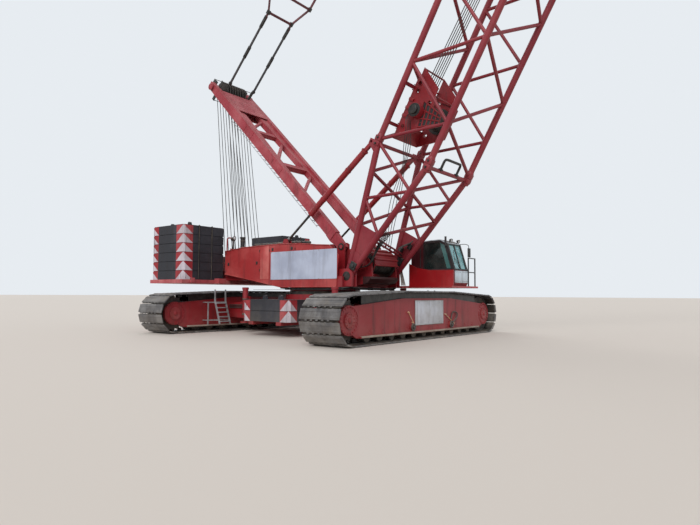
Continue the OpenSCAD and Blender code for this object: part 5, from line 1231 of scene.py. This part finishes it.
def fork(bm, pins, u, way):
    """The forks and pins that join two lengths: cheeks round an eye, a pin with a keeper."""
    for sy, sv in CORNERS:
        y, v = sy * CHORD_Y, sv * REAR_V
        box(bm, (u + way * 0.0005, y - 0.124, v - 0.124), (u + way * 0.18, y + 0.124, v + 0.124), 0.022)
        turned(bm, ((0, 0.111), (0.09, 0.111), (0.0, 0.135)), (u + way * 0.18, y, v), (way, 0, 0), 20)
        bar(pins, (u + way * 0.11, y - 0.165, v), (u + way * 0.11, y + 0.165, v), 0.038, 16)
        bolt(pins, (u + way * 0.11, y + sy * 0.165, v), (0, sy, 0), 0.028, 0.02)


def chords(bm, u0, u1):
    """All four chords from u0 to u1."""
    for sy, sv in CORNERS:
        bar(bm, chord_at(u0, sy, sv), chord_at(u1, sy, sv), CHORD_R, 28)


def boom_length(name, bm, pins):
    """Finishes one welded length of the boom and its pins."""
    piece(name + "_tubes", bm, "boom", boom_red, "crane_red", name, smooth=40, within=IN_BOOM)
    piece(name + "_pins", pins, "boom", boom_dark, "track_steel", within=IN_BOOM)


def tie(bm, u):
    """Two straight tubes across the boom, front and rear."""
    for sv in (-1, 1):
        welded(bm, chord_at(u, -1, sv), chord_at(u, 1, sv), TIE_R)


def disc(half, radius):
    """The profile of a plain round plug, for turned()."""
    return (-half, 0.0), (-half, radius), (half, radius), (half, 0.0)


bm, pins = bmesh.new(), bmesh.new()
plate_side = ((-0.13, -0.10), (-0.06, -0.17), (0.2, -0.2), (0.9, -0.29), (0.9, 0.29), (0.2, 0.2),
              (-0.06, 0.17), (-0.13, 0.10))
web_side = [(u, chord_at(u, 1, sv).z) for u, sv in ((0.2, -1), (1.85, -1), (1.85, 1), (0.2, 1))]
for sy in (-1, 1):
    y = sy * CHORD_Y
    cut_plate(bm, plate_side, y - 0.055, 0.11, 0.008)
    cut_plate(bm, web_side, y - 0.025, 0.05)
    for low in (y - 0.096, y + 0.066):
        cut_plate(bm, ((4.29, 1.095), (4.68, 1.095), (4.68, 1.445), (4.49, 1.445)), low, 0.03, 0.006)
    turned(pins, disc(0.16, 0.08), (0, y, 0), (0, 1, 0), 32)
    bar(pins, (4.58, y - 0.11, 1.355), (4.58, y + 0.11, 1.355), 0.038, 16)
chords(bm, 0.42, FOOT_END - 0.0003)
laced(bm, (FOOT_END - 0.025, 3.65, 2.72, 1.8), 1, 1)
tie(bm, FOOT_END - 0.095)
fork(bm, pins, FOOT_END, -1)
boom_length("boom_foot", bm, pins)

JOINTS = (FOOT_END, FOOT_END + 5 * BAY, FOOT_END + 13 * BAY, FOOT_END + 21 * BAY)
for name, u0, bays, start in (("boom_lower", JOINTS[0], 5, 1), ("boom_middle_1", JOINTS[1], 8, -1),
                              ("boom_middle_2", JOINTS[2], 8, -1)):
    bm, pins = bmesh.new(), bmesh.new()
    u1 = u0 + bays * BAY
    chords(bm, u0 + 0.0005, u1 - 0.0005)
    laced(bm, [u0 + 0.06, *(u0 + BAY * i for i in range(1, bays)), u1 - 0.06], start, -start)
    fork(bm, pins, u0, 1)
    fork(bm, pins, u1, -1)
    if name == "boom_lower":
        for u in WINCH_BEAMS:
            box(bm, (u - 0.06, -CHORD_Y, REAR_V - 0.06), (u + 0.06, CHORD_Y, REAR_V + 0.06), 0.008)
    boom_length(name, bm, pins)

HEAD_AXLE = Vector((42.0, 0, -1.1))
bm, pins = bmesh.new(), bmesh.new()
chords(bm, JOINTS[3] + 0.0005, TAPER_U)
chords(bm, TAPER_U, PLATE_U)
laced(bm, (JOINTS[3] + 0.06, TAPER_U), -1, 1)
tie(bm, TAPER_U + 0.005)
laced(bm, [TAPER_U + (PLATE_U - TAPER_U) * i / 4 for i in range(5)], 1, -1)
for sy in (-1, 1):
    for sv in (-1, 1):
        knee, half_size = chord_at(TAPER_U, sy, sv), Vector((0.12, 0.12, 0.12))
        box(bm, knee - half_size, knee + half_size, 0.025)
    cut_plate(bm, ((41.0, -0.51), (41.75, -1.32), (42.2, -1.3), (42.26, -1.0), (42.15, 0.15), (41.8, 0.56),
                   (41.0, 0.51)), sy * HEAD_Y - 0.04, 0.08, 0.01)
    cut_plate(bm, ((41.34, 0.35), (41.86, 0.35), (41.68, 1.09), (41.52, 1.09)), sy * 0.69 - 0.03, 0.06, 0.008)
    turned(pins, ((0, 0.15), (0.02, 0.145), (0.03, 0.12), (0.03, 0.0)), HEAD_AXLE + Vector((0, sy * 0.7, 0)),
           (0, sy, 0), 28)
for sv in (-1, 1):
    box(bm, (41.1, -HEAD_Y, sv * HEAD_V - 0.075), (41.26, HEAD_Y, sv * HEAD_V + 0.075), 0.01)
fork(bm, pins, JOINTS[3], 1)
boom_length("boom_head", bm, pins)

# Hoisting ropes and boom lines: wire ropes from the drum inside the boom up to its head, and thin black
# hydraulic hoses that hang from the winch's motor down to a channel brace at the foot. A bent black tube is
# bolted across the front lacing.
HOIST_ROPES, HOSES, FOOT_HOSES = 6, 4, 5
bm = bmesh.new()
for i in range(HOIST_ROPES):
    y = -0.54 + 0.125 * i
    low, high = Vector((HOIST_U - 0.06, y, HOIST_V + 0.345)), Vector((41.75, 0.12 * i - 0.3, -0.62))
    bar(bm, IN_BOOM @ low, IN_BOOM @ high, 0.016, 8)
piece("hoist_ropes", bm, "boom", rope_steel, "rope")
bm = bmesh.new()
for i in range(HOSES):
    k = 0.10 * (i - 1.5)
    pipe(bm, [(6.02 + k, -0.98, 0.72), (5.85 + k, -1.02, 0.72), (5.5, -0.96 + k, 0.50),
              (4.85, -0.84 + k, 0.30 - 0.4 * k), (4.3, -0.72 + k, 0.21 + 0.5 * k),
              (3.6, -0.54 + 1.3 * k, 0.19), (2.96, -0.40 + 1.5 * k, 0.15 - 0.4 * k),
              (2.08, -0.32 + 1.5 * k, -0.04),
              (1.6, -0.30 + 1.4 * k, -0.20), (1.30, -0.30 + 1.5 * k, -0.29)], 0.0115, 2)
for i in range(FOOT_HOSES):
    k = 0.05 * i
    pipe(bm, [(2.05, -1.25, -0.60 - k), (1.72, -1.24, -0.50 - k), (1.30, -1.16, -0.44 - 0.4 * k),
              (1.05, -1.12 + 0.3 * k, -0.45), (0.75, -1.12 + 0.3 * k, -0.44), (0.55, -1.18 + 0.3 * k, -0.33),
              (0.42, -1.26, -0.16)], 0.015, 2)
piece("boom_lines", bm, "boom", black, "dark_steel", within=IN_BOOM)
bm = bmesh.new()
for du in (-0.06, 0.06):
    a, b = Vector((1.62 + du, -1.33, -0.50)), Vector((0.98 + du, 1.33, 0.0))
    bar(bm, a, b, 0.035, 4)
for t in (0.12, 0.3, 0.48, 0.66, 0.84):
    middle, rung = a.lerp(b, t) - Vector((0.06, 0, 0)), Vector((0.07, 0.02, 0.03))
    box(bm, middle - rung, middle + rung, 0.006)
piece("foot_brace", bm, "boom", boom_red, "crane_red", smooth=40, within=IN_BOOM)
bm = bmesh.new()
FRONT_V = -REAR_V - 0.01
pipe(bm, [(4.60, -0.60, FRONT_V), (4.86, -0.60, FRONT_V), (4.98, -0.60, FRONT_V), (5.04, -0.52, FRONT_V),
          (5.04, -0.1, FRONT_V), (5.04, 0.36, FRONT_V), (5.04, 0.46, FRONT_V), (4.98, 0.50, FRONT_V),
          (4.86, 0.50, FRONT_V), (4.60, 0.50, FRONT_V)], 0.045)
for y in (-0.60, 0.50):
    turned(bm, disc(0.02, 0.085), (4.67, y, FRONT_V), (1, 0, 0), 16)
piece("kink_bracket", bm, "boom", black, "dark_steel", within=IN_BOOM)

# Foot hydraulics: each foot's pin is pushed by a small cylinder in a black housing; on the inner face of the
# plates stand valve blocks with looped hoses.
bm = bmesh.new()
for sy in (-1, 1):
    face, outer = sy * (CHORD_Y + 0.1), sy * (CHORD_Y + 0.15)
    box(bm, (0.30, face, -0.20), (0.58, outer, 0.06), 0.02)
    turned(bm, ((0, 0.0), (0, 0.075), (0.05, 0.075), (0.06, 0.06), (0.06, 0.0)), (0.44, outer, -0.07),
           (0, sy, 0), 20)
    inner = sy * (CHORD_Y - 0.055)
    for u, v, size in ((0.75, -0.05, 0.16), (1.15, 0.12, 0.12), (1.45, -0.18, 0.10)):
        box(bm, (u - size, inner, v - size * 0.7), (u + size, inner - sy * 0.11, v + size * 0.7), 0.014)
    for k in range(6):
        y = inner - sy * (0.05 + 0.035 * k)
        pipe(bm, [(0.75 + 0.05 * k, inner - sy * 0.1, -0.05), (0.8 + 0.05 * k, y - sy * 0.06, -0.03),
                  (1.05 + 0.06 * k, y - sy * 0.1, 0.22 - 0.05 * k),
                  (1.35 + 0.05 * k, y - sy * 0.04, 0.15 - 0.08 * k),
                  (1.5 + 0.05 * k, inner - sy * 0.12, -0.12 - 0.03 * k),
                  (1.5 + 0.04 * k, inner - sy * 0.06, -0.18)], 0.018, 2)
piece("foot_hydraulics", bm, "boom", black, "dark_steel", within=IN_BOOM)

# Hoisting winch: side plates with flanged holes hang from two cross beams, and rolled rings stiffen the
# holes. A red bar grille guards the right side; the black sheet behind it is painted shade.
bm = bmesh.new()
for cu, cv in ((-0.64, 0.87), (0.64, 0.87), (0.9, 0.9), (-0.38, 0.23), (0.4, 0.23)):
    for y in (-0.8, 0.8, -0.72, 0.72):
        turned(bm, band(0.012, 0.075, 0.095), (HOIST_U + cu, y, cv), (0, 1, 0), 24)
for y in (-0.76, 0.76):
    for u in WINCH_BEAMS:
        for k in (-0.09, 0.09):
            bolt(bm, (u + k, y, 1.115), (0, 0, 1), 0.02, 0.03)
piece("winch_hole_rings", bm, "boom", main_red, "crane_red", within=IN_BOOM)
GRILLE = [Vector((u, -0.815, v)) for u, v in ((6.50, 0.46), (6.27, -0.42), (5.97, -0.46), (5.62, 0.28))]
# A black sheet behind the grille paints the shade between its bars.
bm = bmesh.new()
cut_plate(bm, [corner.xz for corner in GRILLE], -0.812, 0.006)
piece("grille_shade_sheet", bm, "boom", black, "dark_steel", within=IN_BOOM)
bm = bmesh.new()
a, b, c, d = GRILLE
for i in range(4):
    bar(bm, a.lerp(d, i / 3), b.lerp(c, i / 3), 0.026, 6)
for i in range(6):
    bar(bm, a.lerp(b, i / 5), d.lerp(c, i / 5), 0.026, 6)
for u in (HOIST_U - 0.28, HOIST_U, HOIST_U + 0.3):
    box(bm, (u - 0.05, -0.86, 0.86), (u + 0.05, -0.80, 1.06), 0.01)
for low in (-0.6798, 0.66):
    cut_plate(bm, ((6.75, 1.09), (7.55, 1.09), (7.05, 0.2), (6.75, 0.2)), low, 0.0198, 0.004)
for u, v in ((7.0, 1.06), (7.5, 1.06), (6.78, 0.25)):
    bar(bm, (u, -0.68, v), (u, 0.68, v), 0.03, 12)
piece("winch_housing", bm, "boom", main_red, "crane_red", smooth=40, within=IN_BOOM)

# Stay bars: flat steel links from the mast's head to the boom's, pinned end to end. Dark links and their
# pins join the lengths, and spreaders hold the two rows apart.
DARK_STAY_Z = 13.4
stay_red = finish("stay_red", (0.10, 0.014, 0.022), (0.15, 0.035, 0.042), gloss=0.45, streaks=0.4,
                  rusting=0.4, dusting=0.1, size=1.5)
tree = stay_red.node_tree
at = parts_of(tree, point_of(tree))
repaint(stay_red, value_of(tree, "LESS_THAN", at["Z"], DARK_STAY_Z), (0.022, 0.020, 0.022),
        (0.05, 0.042, 0.042))
paint_node(stay_red, "stay_bars")


def between(low, high):
    """A rod's own frame, from its low end to its high one along X, and its length."""
    run = high - low
    return Matrix.Translation(low) @ Matrix.Rotation(-math.atan2(run.z, run.x), 4, "Y"), run.length


LOW_SPREADER, HIGH_SPREADER, HEAD_STAY_Y = (3.55, 0.7), (4.5, 1.2), 0.69
stay_low = IN_MAST @ Vector((MAST_LEN, 0, 0)) + Vector((0.78, 0, 0.12))
IN_STAY, stay_run = between(stay_low, IN_BOOM @ Vector((41.6, 0, 1.0)))
bm = bmesh.new()
for u in (1.6, 3.1, 7.2, 11.4, 15.6, 19.8, 24.0, 28.2):
    t = (u - HIGH_SPREADER[0]) / (stay_run - 4.7)
    y = LOW_SPREADER[1] if u < LOW_SPREADER[0] else mixed(HIGH_SPREADER[1], HEAD_STAY_Y, t)
    for sy in (-1, 1):
        for side in (-1, 1):
            box(bm, (u - 0.28, sy * y + side * 0.027, -0.065), (u + 0.28, sy * y + side * 0.045, 0.065),
                0.008)
        for k in (-0.18, 0.18):
            bar(bm, (u + k, sy * y - 0.065, 0), (u + k, sy * y + 0.065, 0), 0.035, 14)
for u, y in (LOW_SPREADER, HIGH_SPREADER):
    for sy in (-1, 1):
        bolts(bm, (u, sy * (y - 0.1), 0.05), (0, 0, 1), 0.03, 4, 0.011, 0.014)
        box(bm, (u - 0.09, sy * y - 0.07, -0.065), (u + 0.09, sy * y + 0.07, 0.065), 0.01)
for sy in (-1, 1):
    turned(bm, disc(0.06, 0.06), (0, sy * LOW_SPREADER[1], 0), (0, 1, 0), 20)
    bolt(bm, (stay_run, sy * 0.76, 0), (0, sy, 0), 0.03, 0.02)
piece("stay_links", bm, "boom", greasy, "dark_steel", within=IN_STAY)

# Back stops: spring cylinders that lean against the boom. A bright rod slides in a thick red tube with
# end caps, tie bolts and a grease nipple.
chrome = finish("bright_rod", (0.34, 0.34, 0.35), (0.22, 0.21, 0.20), gloss=0.18, streaks=0.35, rusting=0.12,
                dusting=0.3, size=4, metal=0.9, bump=0.05)
paint_node(main_red, "back_stop_tubes")
paint_node(drum_steel, "back_stop_rods")
IN_STOP, stop_run = between(Vector((-0.78, 0, 3.56)), IN_BOOM @ Vector((4.58, 0, REAR_V + 0.22)))
bm = bmesh.new()
for sy in (-1, 1):
    y = sy * CHORD_Y
    for u, way in ((stop_run - 3.7, -1), (stop_run - 0.42, 1)):
        turned(bm, ((-0.06, 0.111), (-0.055, 0.135), (-0.005, 0.135), (0.0, 0.12), (0.0, 0.06)), (u, y, 0),
               (way, 0, 0), 32)
        bolts(bm, (u, y, 0), (way, 0, 0), 0.10, 8, 0.012, 0.018)
    for u in (stop_run - 2.9, stop_run - 1.4):
        turned(bm, band(0.03, 0.111, 0.122), (u, y, 0), (1, 0, 0), 28)
    bar(bm, (stop_run - 0.8, y, 0.11), (stop_run - 0.8, y, 0.135), 0.012, 8)
piece("stop_caps", bm, "back_stop_tubes", main_red, "crane_red", within=IN_STOP)
bm = bmesh.new()
for sy in (-1, 1):
    y = sy * CHORD_Y
    turned(bm, ((0.10, 0.0), (0.10, 0.062), (0.16, 0.062), (0.19, 0.05), (0.21, 0.0455)), (0, y, 0),
           (1, 0, 0), 24)
    turned(bm, disc(0.065, 0.05), (0, y, 0), (0, 1, 0), 20)
piece("stop_rod_collars", bm, "back_stop_rods", chrome, "dark_steel", within=IN_STOP)

# Head and hook block: sheaves on one axle with rope keepers, a two-cheek block with a bolted axle plate,
# and a forged swivelling hook with its nut and safety catch.
forged = finish("forged_hook", (0.07, 0.05, 0.04), (0.14, 0.11, 0.09), gloss=0.45, streaks=0.3, rusting=0.5,
                dusting=0.2, size=3, metal=0.6, bump=0.4)
paint_node(main_red, "hook_block")
paint_node(forged, "hook")
bm = bmesh.new()
KEEPER_HALF = HEAD_Y - 0.03
for v in (HEAD_AXLE.z + 0.56, HEAD_AXLE.z - 0.18):
    bar(bm, (42.02, -KEEPER_HALF, v), (42.02, KEEPER_HALF, v), 0.02, 12)
for i in range(5):
    u, v = 41.28 + 0.13 * i, 0.42 + 0.02 * i
    bar(bm, (u, -KEEPER_HALF, v), (u, KEEPER_HALF, v), 0.014, 8)
for sy in (-1, 1):
    bolts(bm, HEAD_AXLE + Vector((0, sy * 0.729, 0)), (0, sy, 0), 0.10, 8, 0.014, 0.016)
    for u, v in ((41.1, -0.4), (41.1, 0.4), (41.9, 0.2), (41.3, 0.0)):
        bolt(bm, (u, sy * 0.66, v), (0, sy, 0), 0.02, 0.014)
piece("head_rope_keepers", bm, "boom", greasy, "dark_steel", within=IN_BOOM)
BLOCK = IN_BOOM @ HEAD_AXLE - Vector((0, 0, 2.4))
bm = bmesh.new()
for sy in (-1, 1):
    cheek = BLOCK + Vector((0, sy * 0.45, 0))
    turned(bm, ((0, 0.16), (0.014, 0.155), (0.02, 0.13), (0.02, 0.0)), cheek, (0, sy, 0), 28)
    bolts(bm, cheek + Vector((0, sy * 0.02, 0)), (0, sy, 0), 0.11, 8, 0.014, 0.014)
    bolts(bm, cheek, (0, sy, 0), 0.42, 16, 0.012, 0.014)
for a in range(6):
    out = Vector((math.cos(a * math.pi / 3 + 0.3), 0, math.sin(a * math.pi / 3 + 0.3))) * 0.445
    if abs(out.x) > 0.2:
        bar(bm, BLOCK + out + Vector((0, -0.39, 0)), BLOCK + out + Vector((0, 0.39, 0)), 0.012, 8)
piece("block_axle_plates", bm, "hook_block", greasy, "dark_steel")
bm = bmesh.new()
turned(bm, ((0, 0.0605), (0, 0.105), (0.08, 0.105), (0.09, 0.095), (0.09, 0.0605), (0, 0.0605)),
       BLOCK + Vector((0, 0, -0.62)), (0, 0, -1), 6)
bar(bm, BLOCK + Vector((0.06, 0, -0.9)), BLOCK + Vector((0.2, 0, -1.08)), 0.02, 10)
box(bm, BLOCK + Vector((0.03, -0.05, -0.95)), BLOCK + Vector((0.09, 0.05, -0.86)), 0.01)
piece("hook_catch", bm, "hook", forged, "dark_steel")
